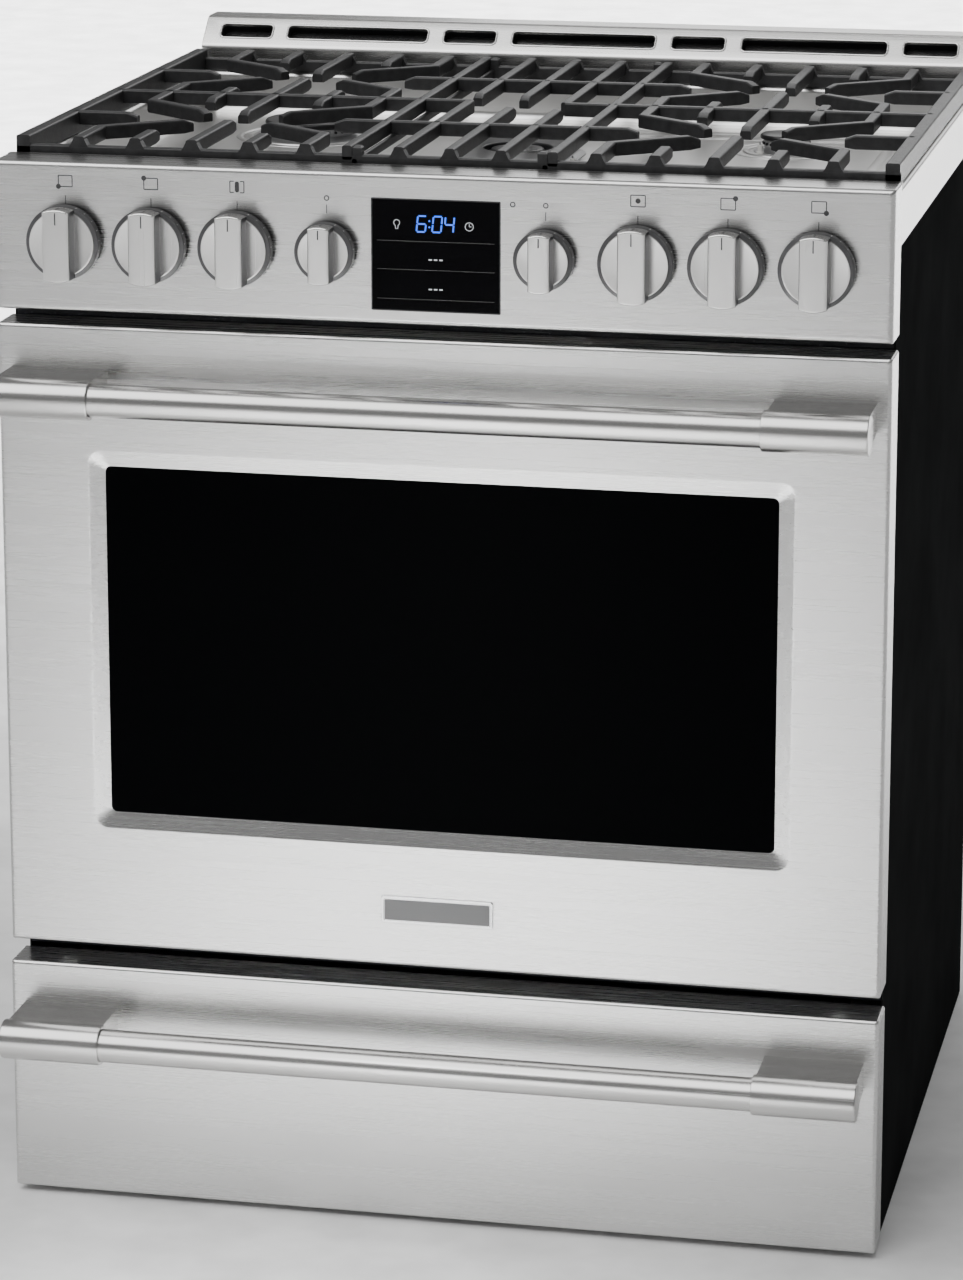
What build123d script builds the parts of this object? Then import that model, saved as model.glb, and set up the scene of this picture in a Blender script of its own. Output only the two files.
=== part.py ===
"""Freestanding 30-inch gas range with front controls, as separate pieces.

Frame: X to the right, Y towards the back, Z up, floor at Z = 0.
The origin is the centre of the footprint, handles included. Millimetres.
"""
from build123d import *
from math import atan2, cos, degrees, hypot, radians, sin
import os

os.makedirs("parts", exist_ok=True)

# ---------------------------------------------------------------- driving sizes
WIDTH = 758.8            # front faces, side to side
BODY_DEPTH = 690.0       # door face to the back of the body
BODY_INSET = 2.5         # side panels stand in from the front faces
SHEET = 1.5              # formed steel sheet
GAP = 0.3                # air between pieces that move apart
FIT = 0.05               # radial clearance of a pin in its eye

BODY_LIP = 12.0          # folded edges of the side panels
BACK_INSET = 2.0         # back sheet ahead of the rearmost point
BODY_FLOOR = 2.0         # lower edge of the side panels above the floor
BASE_Z = 12.0            # base sheet above the floor
BASE_SETBACK = 5.0       # base behind the face frame
DRAWER_BOTTOM = 6.0
DRAWER_HEIGHT = 208.0
DRAWER_PROUD = 4.0       # drawer face ahead of the door face
DRAWER_DOOR_GAP = 18.0
DOOR_HEIGHT = 546.5
DOOR_PANEL_GAP = 11.5
PANEL_HEIGHT = 127.0
PANEL_SETBACK = 1.0      # control panel face behind the door face
FLANGE_DEPTH = 40.0      # side returns of the three front faces
FLANGE_RADIUS = 3.0

WINDOW_WIDTH = 576.0
WINDOW_HEIGHT = 305.0
WINDOW_ABOVE_DOOR = 120.5
BEVEL_WIDTH = 13.0
BEVEL_DEPTH = 4.4
GLASS = 4.0

HANDLE_BAR_RADIUS = 14.2
HANDLE_SLEEVE_WALL = 2.8
HANDLE_SOCKET = 30.0       # length of the bar inside each sleeve
HANDLE_SLEEVE_LENGTH = 88.0
HANDLE_END_MARGIN = 10.0   # sleeve end to the side of the door
HANDLE_REACH = 54.0        # handle axis ahead of its face
HANDLE_DROP = 52.0         # handle axis below the top edge of its face
STANDOFF_WIDTH = 84.0
STANDOFF_RISE = 15.0       # top of the standoff above the handle axis
STANDOFF_ROOT = 25.0       # height of the standoff at the face

OVEN_KNOB_X = 92.3
KNOB_AIR = 11.2            # between neighbouring burner knobs
KNOB_GROUP_AIR = 20.0      # between an oven knob and the first burner knob
KNOB_AXIS_DROP = 66.5      # knob axis below the top of the panel
KNOB_RADIUS = 31.5
OVEN_KNOB_RADIUS = 25.0
KNOB_SKIRT_DEPTH = 9.5
KNOB_DISC_DEPTH = 2.0
KNOB_DISC_INSET = 1.0
KNOB_GRIP_HEIGHT = 16.5
KNOB_GRIP_WIDTH = 23.0
KNOB_EDGE = 1.5
KNOB_STANDING_GAP = 3.5    # room for the knob to be pushed in
KNOB_PUSH = 3.0
STEM_RADIUS = 4.0
DISPLAY_WIDTH = 107.0
DISPLAY_HEIGHT = 92.0
DISPLAY_DROP = 21.8        # top of the display below the top of the panel

RIM_DROP = 6.0             # cooktop rim below the panel top
SKIRT_HEIGHT = 47.0
SKIRT_INSET = 0.5
PAN_DEPTH = 39.0           # burner pan below the cooktop rim
PAN_FRONT = 66.0
PAN_TO_RISER = 27.0
PAN_SIDE_RIM = 14.5

BURNER_FROM_RAIL = 153.5   # burner axis to the outer side of its grate
BURNER_PITCH = 270.0       # front burner to back burner
HEAD_HEIGHT = 12.0
HEAD_INSET = 3.0           # head inside the edge of its cap
CAP_THICKNESS = 5.0
THROAT_DEPTH = 22.0
THROAT_COLLAR_DROP = 8.0
THROAT_COLLAR = 4.0
THROAT_RADIUS = 18.0
THROAT_CLEARANCE = 0.5

GRATE_FRONT = 53.0
GRATE_TO_RISER = 16.0
GRATE_INSET = 2.9          # grate's outer rail in from the side of the cooktop
GRATE_SEAM_X = 83.0
GRATE_RISE = 19.5           # top of the grates above the cooktop rim
FINGER_HEIGHT = 12.0
FINGER_WIDTH = 9.5
OUTER_RAIL_WIDTH = 12.0
INNER_RAIL_WIDTH = 8.5
END_RAIL_WIDTH = 9.0
END_RAIL_HEIGHT = 11.5
FINGER_SPACING = 49.3
ARM_TURN = 80.0            # bend of an arm to the burner, front to back
ARM_END_X = 33.0
ARM_END_D = 27.0
SHORT_FINGER_STANDOFF = 86.0   # finger tips to the burner axis, front to back
LONG_FINGER_STANDOFF = 18.0
BAR_STANDOFF = 22.0
STUB_HALF = 43.0           # crossbar stubs, each way from the middle

RISER_RUN = 57.0           # front of the riser to the rearmost point
RISER_FOOT_RISE = 21.0     # upright part of the riser above the rim
RISER_SLOPE_RUN = 28.0
RISER_SLOPE_RISE = 25.5
RISER_INSET = 4.5
SLOT_HEIGHT = 15.5
SHORT_SLOT = 49.6
LONG_SLOT = 137.2
SLOT_CENTRES = ((0.0, LONG_SLOT), (111.0, SHORT_SLOT), (222.0, LONG_SLOT), (332.3, SHORT_SLOT))
SLOT_CORNER = 3.5

CAVITY_SIDE_ROOM = 79.4    # cavity wall to the side of the front
CAVITY_SILL = 53.0         # cavity floor above the bottom edge of the door
CAVITY_HEAD = 33.5         # cavity roof below the top edge of the door
CAVITY_BACK_ROOM = 150.0   # behind the cavity, for the fan motor and gas supply
FRAME_FACE = 43.0          # face frame behind the door face
FRAME_THICKNESS = 3.0
GASKET_WIDTH = 10.0

HINGE_INSET = 39.4         # hinge arm in from the side of the door
HINGE_D = 20.0
HINGE_RISE = 8.0           # hinge pin above the bottom edge of the door
HINGE_PIN_RADIUS = 4.0
HINGE_EYE_RADIUS = 7.0
HINGE_CUT = 9.0            # hinge slot ahead of the pin
HINGE_ARM_WIDTH = 6.0
HINGE_SLOT_HALF = 7.0
HINGE_SLOT_RISE = 12.0
HINGE_PLATE_HALF = 6.0

DRAWER_SIDE_ROOM = 48.9    # drawer box wall in from the side panel
DRAWER_BACK_ROOM = 97.0    # behind the drawer box
DRAWER_BOX_BOTTOM = 24.0
DRAWER_BOX_DROP = 24.0     # top edge of the box below the top of its front
RUNNER_HEIGHT = 32.0
RUNNER_WIDTH = 8.0
RAIL_WEB = 7.0
RAIL_PLAY = 1.0
RAIL_FLANGE = 3.0

FAN_RADIUS = 72.0
LAMP_X = -200.0
LAMP_DROP = 55.0           # lamp below the cavity roof
LAMP_RADIUS = 18.0
RACK_RISES = (115.0, 275.0)  # racks above the cavity floor
RACK_WIRE = 3.0
RACK_BAR_RADIUS = 2.0
RACK_BARS = 9              # bars each side of the middle one
RACK_SIDE_GAP = 3.0
LEDGE_WIDTH = 10.0
LEDGE_THICKNESS = 5.0
LEDGE_FIRST = 35.0         # lowest rack place above the cavity floor
LEDGE_STEP = 80.0
LEDGE_COUNT = 5
LEDGE_SETBACK = 10.0
SHAFT_HOLE = 9.0
LAMP_HOLE_CLEARANCE = 2.0

# ---------------------------------------------------------------- derived places
HALF = WIDTH / 2
BODY_HALF = HALF - BODY_INSET
HANDLE_SLEEVE_RADIUS = HANDLE_BAR_RADIUS + HANDLE_SLEEVE_WALL
DRAWER_TOP = DRAWER_BOTTOM + DRAWER_HEIGHT
DOOR_BOTTOM = DRAWER_TOP + DRAWER_DOOR_GAP
DOOR_TOP = DOOR_BOTTOM + DOOR_HEIGHT
PANEL_BOTTOM = DOOR_TOP + DOOR_PANEL_GAP
PANEL_TOP = PANEL_BOTTOM + PANEL_HEIGHT
RIM_Z = PANEL_TOP - RIM_DROP
PAN_Z = RIM_Z - PAN_DEPTH
SKIRT_BOTTOM = RIM_Z - SKIRT_HEIGHT
FRONT_REACH = DRAWER_PROUD + HANDLE_REACH + HANDLE_SLEEVE_RADIUS
DOOR_FACE_Y = FRONT_REACH - (FRONT_REACH + BODY_DEPTH) / 2
WINDOW_Z = DOOR_BOTTOM + WINDOW_ABOVE_DOOR + WINDOW_HEIGHT / 2
KNOB_Z = PANEL_TOP - KNOB_AXIS_DROP
KNOB_SPACING = 2 * KNOB_RADIUS + KNOB_AIR
FIRST_BURNER_KNOB_X = OVEN_KNOB_X + OVEN_KNOB_RADIUS + KNOB_GROUP_AIR + KNOB_RADIUS
BURNER_KNOB_XS = tuple(
    side * (FIRST_BURNER_KNOB_X + step * KNOB_SPACING) for side in (-1, 1) for step in range(3)
)
CAVITY_WIDTH = WIDTH - 2 * CAVITY_SIDE_ROOM
CAVITY_BOTTOM = DOOR_BOTTOM + CAVITY_SILL
CAVITY_TOP = DOOR_TOP - CAVITY_HEAD
CAVITY_HEIGHT = CAVITY_TOP - CAVITY_BOTTOM
CAVITY_FRONT = FRAME_FACE + FRAME_THICKNESS
CAVITY_BACK = BODY_DEPTH - CAVITY_BACK_ROOM
FAN_Z = (CAVITY_BOTTOM + CAVITY_TOP) / 2
LAMP_Z = CAVITY_TOP - LAMP_DROP
RACK_HEIGHTS = tuple(CAVITY_BOTTOM + rise for rise in RACK_RISES)
LEDGE_LEVELS = tuple(CAVITY_BOTTOM + LEDGE_FIRST + LEDGE_STEP * index for index in range(LEDGE_COUNT))
BODY_FRONT = FRAME_FACE
SKIRT_FRONT = PANEL_SETBACK + FLANGE_DEPTH + 2 * GAP
SKIRT_HALF = HALF - SKIRT_INSET
RISER_FRONT = BODY_DEPTH - RISER_RUN
PAN_BACK = RISER_FRONT - PAN_TO_RISER
GRATE_BACK = RISER_FRONT - GRATE_TO_RISER
GRATE_MIDDLE = (GRATE_FRONT + GRATE_BACK) / 2
GRATE_OUTER_X = SKIRT_HALF - GRATE_INSET
BURNER_X = GRATE_OUTER_X - BURNER_FROM_RAIL
FRONT_BURNER_D = GRATE_MIDDLE - BURNER_PITCH / 2
BACK_BURNER_D = GRATE_MIDDLE + BURNER_PITCH / 2
HEAD_TOP = PAN_Z + HEAD_HEIGHT
GRATE_TOP = RIM_Z + GRATE_RISE
FINGER_UNDERSIDE = GRATE_TOP - FINGER_HEIGHT
GRATE_FOOT = RIM_Z + GAP
END_RAIL_TOP = GRATE_FOOT + END_RAIL_HEIGHT
HINGE_Z = DOOR_BOTTOM + HINGE_RISE
HINGE_X = HALF - HINGE_INSET
BACK_SHEET_D = BODY_DEPTH - BACK_INSET - SHEET
BOX_HALF = BODY_HALF - DRAWER_SIDE_ROOM
BOX_FRONT = FLANGE_DEPTH - DRAWER_PROUD - 2 * SHEET
BOX_BACK = BODY_DEPTH - DRAWER_BACK_ROOM
BOX_TOP = DRAWER_TOP - DRAWER_BOX_DROP
RUNNER_Z = (DRAWER_BOX_BOTTOM + BOX_TOP) / 2 + 1.0
SLIDE_WALL_X = BOX_HALF + RUNNER_WIDTH + RAIL_PLAY + RAIL_WEB


def depth(behind_door):
    """Y of a point this far behind the door face."""
    return DOOR_FACE_Y + behind_door


def slab(xs, ds, zs, mode=Mode.ADD):
    """A block between two x, two depths behind the door face and two heights."""
    with Locations(((xs[0] + xs[1]) / 2, depth((ds[0] + ds[1]) / 2), (zs[0] + zs[1]) / 2)):
        Box(abs(xs[1] - xs[0]), abs(ds[1] - ds[0]), abs(zs[1] - zs[0]), mode=mode)


def post(x, d, zs, radius, mode=Mode.ADD):
    """An upright round at one place, between two heights."""
    with Locations((x, depth(d), (zs[0] + zs[1]) / 2)):
        Cylinder(radius, abs(zs[1] - zs[0]), mode=mode)


def spindle(x, z, ds, radius, mode=Mode.ADD):
    """A round that runs front to back, between two depths."""
    with Locations(Location((x, depth((ds[0] + ds[1]) / 2), z), (90, 0, 0))):
        Cylinder(radius, abs(ds[1] - ds[0]), mode=mode)


def axle(d, z, xs, radius, mode=Mode.ADD):
    """A round that runs side to side, between two x."""
    with Locations(Location(((xs[0] + xs[1]) / 2, depth(d), z), (0, 90, 0))):
        Cylinder(radius, abs(xs[1] - xs[0]), mode=mode)


def finish_part(builder, name):
    """Label a finished piece and write it out."""
    builder.part.label = name
    export_step(builder.part, "parts/" + name + ".step")


# ---------------------------------------------------------------- body shell
for side, name in ((-1, "side_panel_left"), (1, "side_panel_right")):
    with BuildPart() as side_panel:
        outer = side * BODY_HALF
        inner = side * (BODY_HALF - SHEET)
        lip = side * (BODY_HALF - BODY_LIP)
        back = BODY_DEPTH - BACK_INSET
        slab((inner, outer), (BODY_FRONT, back), (BODY_FLOOR, SKIRT_BOTTOM))
        slab((lip, inner), (BODY_FRONT, back), (BODY_FLOOR, BODY_FLOOR + SHEET))
        slab((lip, inner), (back - SHEET, back), (BODY_FLOOR + SHEET, SKIRT_BOTTOM))
    finish_part(side_panel, name)

GAS_INLET_X = 250.0
GAS_INLET_Z = 300.0
GAS_INLET_RADIUS = 9.5
GAS_INLET_LENGTH = 16.0
GAS_INLET_HOLE = 24.0
CORD_HOLE = 11.0
BACK_CUT = 3.0             # reach of the back panel's cuts past its sheet
MOTOR_VENT_LENGTH = 44.0
MOTOR_VENT_WIDTH = 8.0
BACK_INNER_X = BODY_HALF - BODY_LIP - GAP
BACK_BOTTOM = BASE_Z + SHEET + GAP
with BuildPart() as back_panel:
    slab((-BACK_INNER_X, BACK_INNER_X), (BACK_SHEET_D, BACK_SHEET_D + SHEET), (BACK_BOTTOM, SKIRT_BOTTOM))
    with BuildSketch(Plane.XZ.offset(-depth(BACK_SHEET_D - BACK_CUT))):
        with Locations((GAS_INLET_X, GAS_INLET_Z)):
            Circle(GAS_INLET_HOLE)
        with Locations((-GAS_INLET_X, GAS_INLET_Z)):
            Circle(CORD_HOLE)
        with Locations((0, FAN_Z)):
            with GridLocations(60.0, 22.0, 5, 6):
                SlotOverall(MOTOR_VENT_LENGTH, MOTOR_VENT_WIDTH)
    extrude(amount=-SHEET - 2 * BACK_CUT, mode=Mode.SUBTRACT)
finish_part(back_panel, "back_panel")

BASE_HALF = BODY_HALF - SHEET - GAP
BASE_FRONT = BODY_FRONT + BASE_SETBACK
BASE_BACK = BOX_BACK + 47.0
BASE_WALL_TOP = BOX_TOP + 6.0
BASE_LEG_CUT = 12.0
BASE_LEG_CUT_HEIGHT = 40.0
LEG_X = SLIDE_WALL_X + 1.0
LEG_DS = (75.0, BODY_DEPTH - 40.0)
LEG_STUD_RADIUS = 5.0
LEG_STUD_LENGTH = 38.0
LEG_PAD_RADIUS = 17.0
LEG_PAD_HEIGHT = 4.0
LEG_NUT_RADIUS = 11.0
with BuildPart() as base_frame:
    slab((-BASE_HALF, BASE_HALF), (BASE_FRONT, BACK_SHEET_D - GAP), (BASE_Z, BASE_Z + SHEET))
    for side in (-1, 1):
        wall = (side * SLIDE_WALL_X, side * (SLIDE_WALL_X + SHEET))
        slab(wall, (BASE_FRONT, BASE_BACK), (BASE_Z + SHEET, BASE_WALL_TOP))
        tab = (side * (SLIDE_WALL_X + SHEET), side * BASE_HALF)
        slab(tab, (BASE_FRONT, BASE_BACK), (BASE_WALL_TOP - SHEET, BASE_WALL_TOP))
    slab((-SLIDE_WALL_X, SLIDE_WALL_X), (BASE_BACK - SHEET, BASE_BACK), (BASE_Z + SHEET, BASE_WALL_TOP))
    for side in (-1, 1):
        for leg_d in LEG_DS:
            post(side * LEG_X, leg_d, (BASE_Z - 1, BASE_Z + SHEET + 1), LEG_STUD_RADIUS + 0.5, Mode.SUBTRACT)
            slab(
                (side * (LEG_X - BASE_LEG_CUT), side * (LEG_X + BASE_LEG_CUT)),
                (leg_d - BASE_LEG_CUT, leg_d + BASE_LEG_CUT),
                (BASE_Z + SHEET, BASE_Z + BASE_LEG_CUT_HEIGHT),
                Mode.SUBTRACT,
            )
finish_part(base_frame, "base_frame")

with BuildPart() as levelling_legs:
    for side in (-1, 1):
        for leg_d in LEG_DS:
            post(side * LEG_X, leg_d, (0.0, LEG_PAD_HEIGHT), LEG_PAD_RADIUS)
            with BuildSketch(Plane.XY.offset(LEG_PAD_HEIGHT)):
                with Locations((side * LEG_X, depth(leg_d))):
                    RegularPolygon(LEG_NUT_RADIUS, 6)
            extrude(amount=BASE_Z - LEG_PAD_HEIGHT)
            post(side * LEG_X, leg_d, (BASE_Z, BASE_Z + LEG_STUD_LENGTH), LEG_STUD_RADIUS)
finish_part(levelling_legs, "levelling_legs")

# ---------------------------------------------------------------- oven
FRAME_RISE = 2.0           # face frame above the drawer front
FRAME_LAP = 12.0           # face frame behind the control panel
OPENING_HALF = CAVITY_WIDTH / 2
RACK_HALF = OPENING_HALF - RACK_SIDE_GAP - RACK_WIRE
with BuildPart() as front_frame:
    slab(
        (-BODY_HALF + SHEET + GAP, BODY_HALF - SHEET - GAP),
        (FRAME_FACE, CAVITY_FRONT),
        (DRAWER_TOP + FRAME_RISE, PANEL_BOTTOM + FRAME_LAP),
    )
    slab(
        (-OPENING_HALF, OPENING_HALF),
        (FRAME_FACE - 1, CAVITY_FRONT + 1),
        (CAVITY_BOTTOM, CAVITY_TOP),
        Mode.SUBTRACT,
    )
finish_part(front_frame, "front_frame")

with BuildPart() as oven_liner:
    slab(
        (-OPENING_HALF - SHEET, OPENING_HALF + SHEET),
        (CAVITY_FRONT, CAVITY_BACK + SHEET),
        (CAVITY_BOTTOM - SHEET, CAVITY_TOP + SHEET),
    )
    slab(
        (-OPENING_HALF, OPENING_HALF),
        (CAVITY_FRONT - 1, CAVITY_BACK),
        (CAVITY_BOTTOM, CAVITY_TOP),
        Mode.SUBTRACT,
    )
    for side in (-1, 1):
        for level in LEDGE_LEVELS:
            ledge_top = level - RACK_WIRE - GAP
            slab(
                (side * (OPENING_HALF - LEDGE_WIDTH), side * OPENING_HALF),
                (CAVITY_FRONT + LEDGE_SETBACK, CAVITY_BACK),
                (ledge_top - LEDGE_THICKNESS, ledge_top),
            )
    back_wall = (CAVITY_BACK - 2 * SHEET, CAVITY_BACK + 2 * SHEET)
    spindle(0, FAN_Z, back_wall, SHAFT_HOLE, Mode.SUBTRACT)
    spindle(LAMP_X, LAMP_Z, back_wall, LAMP_RADIUS + LAMP_HOLE_CLEARANCE, Mode.SUBTRACT)
finish_part(oven_liner, "oven_liner")

LINER_BACK = FLANGE_DEPTH - 2.0
LINER_THICKNESS = 5.0
LINER_FRONT = LINER_BACK - LINER_THICKNESS
LINER_CUTS = (LINER_FRONT - 1.0, LINER_BACK + 1.0)
GASKET_OUT = 16.0
with BuildPart() as oven_gasket:
    with BuildSketch(Plane.XZ.offset(-depth(FRAME_FACE))):
        with Locations((0, (CAVITY_BOTTOM + CAVITY_TOP) / 2)):
            RectangleRounded(CAVITY_WIDTH + 2 * GASKET_OUT, CAVITY_HEIGHT + 2 * GASKET_OUT, 20.0)
            RectangleRounded(
                CAVITY_WIDTH + 2 * (GASKET_OUT - GASKET_WIDTH),
                CAVITY_HEIGHT + 2 * (GASKET_OUT - GASKET_WIDTH),
                10.0,
                mode=Mode.SUBTRACT,
            )
    extrude(amount=FRAME_FACE - LINER_BACK - GAP)
finish_part(oven_gasket, "oven_gasket")

BAKE_Z = CAVITY_BOTTOM - 23.0
BAKE_X = 150.0
BAKE_FRONT = CAVITY_FRONT + 64.0
BAKE_BACK = CAVITY_BACK - 70.0
BAKE_HALF_WIDTH = 20.0
BAKE_HALF_HEIGHT = 9.0
FEED_RADIUS = 8.0
FEED_BACK = CAVITY_BACK + 60.0
BROIL_Z = CAVITY_TOP - 23.0
BROIL_XS = (-180.0, -60.0, 60.0, 180.0)
BROIL_DS = (CAVITY_FRONT + 84.0, CAVITY_BACK - 110.0)
BROIL_HALF_WIDTH = 8.0
BROIL_HALF_HEIGHT = 6.0
BROIL_FEED_RADIUS = 7.0
HANGER_X = 120.0
HANGER_HALF = 6.0
HANGER_THICKNESS = 2.0
with BuildPart() as oven_burners:
    bake_zs = (BAKE_Z - BAKE_HALF_HEIGHT, BAKE_Z + BAKE_HALF_HEIGHT)
    for x in (-BAKE_X, BAKE_X):
        slab((x - BAKE_HALF_WIDTH, x + BAKE_HALF_WIDTH), (BAKE_FRONT, BAKE_BACK), bake_zs)
    slab((-BAKE_X, BAKE_X), (BAKE_FRONT, BAKE_FRONT + 2 * BAKE_HALF_WIDTH), bake_zs)
    spindle(0, BAKE_Z, (BAKE_FRONT + BAKE_HALF_WIDTH, FEED_BACK), FEED_RADIUS)
    broil_zs = (BROIL_Z - BROIL_HALF_HEIGHT, BROIL_Z + BROIL_HALF_HEIGHT)
    for x in BROIL_XS:
        slab((x - BROIL_HALF_WIDTH, x + BROIL_HALF_WIDTH), BROIL_DS, broil_zs)
    broil_end = BROIL_XS[-1] + BROIL_HALF_WIDTH
    for d in BROIL_DS:
        slab((-broil_end, broil_end), (d - BROIL_HALF_WIDTH, d + BROIL_HALF_WIDTH), broil_zs)
        for x in (-HANGER_X, HANGER_X):
            slab(
                (x - HANGER_HALF, x + HANGER_HALF),
                (d - HANGER_THICKNESS / 2, d + HANGER_THICKNESS / 2),
                (BROIL_Z + BROIL_HALF_HEIGHT, CAVITY_TOP),
            )
    spindle(0, BROIL_Z, (BROIL_DS[-1], CAVITY_BACK), BROIL_FEED_RADIUS)
finish_part(oven_burners, "oven_burners")

FAN_COVER_DEPTH = 48.0
FAN_COVER_HALF = FAN_RADIUS + 38.0
FAN_COVER_D = CAVITY_BACK - FAN_COVER_DEPTH
with BuildPart() as fan_cover:
    slab(
        (-FAN_COVER_HALF, FAN_COVER_HALF),
        (FAN_COVER_D, CAVITY_BACK),
        (FAN_Z - FAN_COVER_HALF, FAN_Z + FAN_COVER_HALF),
    )
    cover_inside = FAN_COVER_HALF - SHEET
    slab(
        (-cover_inside, cover_inside),
        (FAN_COVER_D + SHEET, CAVITY_BACK + SHEET),
        (FAN_Z - cover_inside, FAN_Z + cover_inside),
        Mode.SUBTRACT,
    )
    with BuildSketch(Plane.XZ.offset(-depth(FAN_COVER_D - SHEET))):
        with Locations((0, FAN_Z)):
            with PolarLocations(45.0, 8):
                SlotOverall(34.0, 8.0)
            with PolarLocations(82.0, 16):
                SlotOverall(24.0, 8.0)
            Circle(8.0)
    extrude(amount=-3 * SHEET, mode=Mode.SUBTRACT)
finish_part(fan_cover, "fan_cover")

FAN_D = CAVITY_BACK - FAN_COVER_DEPTH / 2
FAN_PLATE = 2.0
FAN_HUB_RADIUS = 12.0
FAN_HUB_HALF = 10.0
BLADE_ROOT = 26.0
BLADE_HEIGHT = 18.0
BLADE_THICKNESS = 1.6
BLADE_COUNT = 12
SHAFT_RADIUS = 4.0
with BuildPart() as convection_fan:
    spindle(0, FAN_Z, (FAN_D - FAN_PLATE / 2, FAN_D + FAN_PLATE / 2), FAN_RADIUS)
    spindle(0, FAN_Z, (FAN_D - FAN_HUB_HALF, FAN_D + FAN_HUB_HALF), FAN_HUB_RADIUS)
    reach = (FAN_RADIUS + BLADE_ROOT) / 2
    for index in range(BLADE_COUNT):
        angle = index * 360.0 / BLADE_COUNT
        blade_x = reach * cos(radians(angle))
        blade_z = FAN_Z + reach * sin(radians(angle))
        with Locations(Location((blade_x, depth(FAN_D - BLADE_HEIGHT / 2), blade_z), (0, -angle, 0))):
            Box(FAN_RADIUS - BLADE_ROOT, BLADE_HEIGHT, BLADE_THICKNESS)
    bore_span = (FAN_D - 2 * FAN_HUB_HALF, FAN_D + 2 * FAN_HUB_HALF)
    spindle(0, FAN_Z, bore_span, SHAFT_RADIUS + FIT, Mode.SUBTRACT)
finish_part(convection_fan, "convection_fan")

MOTOR_D = CAVITY_BACK + SHEET + 30.0
MOTOR_LENGTH = 45.0
MOTOR_RADIUS = 34.0
MOTOR_STRAP_HALF = 50.0
MOTOR_STRAP_RISE = 14.0
with BuildPart() as fan_motor:
    spindle(0, FAN_Z, (MOTOR_D, MOTOR_D + MOTOR_LENGTH), MOTOR_RADIUS)
    slab(
        (-MOTOR_STRAP_HALF, MOTOR_STRAP_HALF),
        (MOTOR_D, MOTOR_D + 2.0),
        (FAN_Z - MOTOR_STRAP_RISE, FAN_Z + MOTOR_STRAP_RISE),
    )
    spindle(0, FAN_Z, (FAN_D - FAN_HUB_HALF + 1.0, MOTOR_D), SHAFT_RADIUS)
finish_part(fan_motor, "fan_motor")

LAMP_PROUD = 26.0
LAMP_BASE = 30.0
LAMP_FLANGE = 7.0
LAMP_DOME = 12.0
with BuildPart() as oven_lamp:
    spindle(LAMP_X, LAMP_Z, (CAVITY_BACK - LAMP_PROUD, CAVITY_BACK + LAMP_BASE), LAMP_RADIUS)
    spindle(LAMP_X, LAMP_Z, (CAVITY_BACK - 3.0, CAVITY_BACK), LAMP_RADIUS + LAMP_FLANGE)
    fillet(oven_lamp.edges().sort_by(Axis.Y)[0], LAMP_DOME)
finish_part(oven_lamp, "oven_lamp")

RACK_SETBACK = 40.0
RACK_TO_COVER = 14.0
RACK_FRONT = CAVITY_FRONT + RACK_SETBACK
RACK_BACK = FAN_COVER_D - RACK_TO_COVER
for level, name in zip(RACK_HEIGHTS, ("oven_rack_lower", "oven_rack_upper")):
    with BuildPart() as oven_rack:
        for side in (-1, 1):
            spindle(side * RACK_HALF, level, (RACK_FRONT, RACK_BACK), RACK_WIRE)
        for d in (RACK_FRONT, (RACK_FRONT + RACK_BACK) / 2, RACK_BACK):
            axle(d, level, (-RACK_HALF, RACK_HALF), RACK_WIRE)
        for index in range(-RACK_BARS, RACK_BARS + 1):
            bar_x = index * RACK_HALF / (RACK_BARS + 1)
            spindle(bar_x, level + RACK_BAR_RADIUS, (RACK_FRONT, RACK_BACK), RACK_BAR_RADIUS)
    finish_part(oven_rack, name)

# ---------------------------------------------------------------- door
with BuildPart() as door_panel:
    slab((-HALF, HALF), (0.0, FLANGE_DEPTH), (DOOR_BOTTOM, DOOR_TOP))
    fillet(door_panel.edges().filter_by(Axis.Z).group_by(Axis.Y)[0], FLANGE_RADIUS)
    slab(
        (-HALF + SHEET, HALF - SHEET),
        (BEVEL_DEPTH + 0.1, FLANGE_DEPTH + 1),
        (DOOR_BOTTOM + SHEET, DOOR_TOP - SHEET),
        Mode.SUBTRACT,
    )
    with BuildSketch(Plane.XZ.offset(-depth(0.0))):
        with Locations((0, WINDOW_Z)):
            Rectangle(WINDOW_WIDTH + 2 * BEVEL_WIDTH, WINDOW_HEIGHT + 2 * BEVEL_WIDTH)
    with BuildSketch(Plane.XZ.offset(-depth(BEVEL_DEPTH))):
        with Locations((0, WINDOW_Z)):
            Rectangle(WINDOW_WIDTH, WINDOW_HEIGHT)
    loft(mode=Mode.SUBTRACT)
    slab(
        (-WINDOW_WIDTH / 2, WINDOW_WIDTH / 2),
        (0, BEVEL_DEPTH + 1),
        (WINDOW_Z - WINDOW_HEIGHT / 2, WINDOW_Z + WINDOW_HEIGHT / 2),
        Mode.SUBTRACT,
    )
    for side in (-1, 1):
        slab(
            (side * (HINGE_X - HINGE_SLOT_HALF), side * (HINGE_X + HINGE_SLOT_HALF)),
            (HINGE_D - HINGE_CUT, FLANGE_DEPTH + 1),
            (DOOR_BOTTOM - 1, DOOR_BOTTOM + SHEET + 1),
            Mode.SUBTRACT,
        )
finish_part(door_panel, "door_panel")

OUTER_GLASS_D = BEVEL_DEPTH + 0.1 + GAP
GLASS_LAP = 12.0
with BuildPart() as door_glass_outer:
    slab(
        (-WINDOW_WIDTH / 2 - GLASS_LAP, WINDOW_WIDTH / 2 + GLASS_LAP),
        (OUTER_GLASS_D, OUTER_GLASS_D + GLASS),
        (WINDOW_Z - WINDOW_HEIGHT / 2 - GLASS_LAP, WINDOW_Z + WINDOW_HEIGHT / 2 + GLASS_LAP),
    )
finish_part(door_glass_outer, "door_glass_outer")

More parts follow.
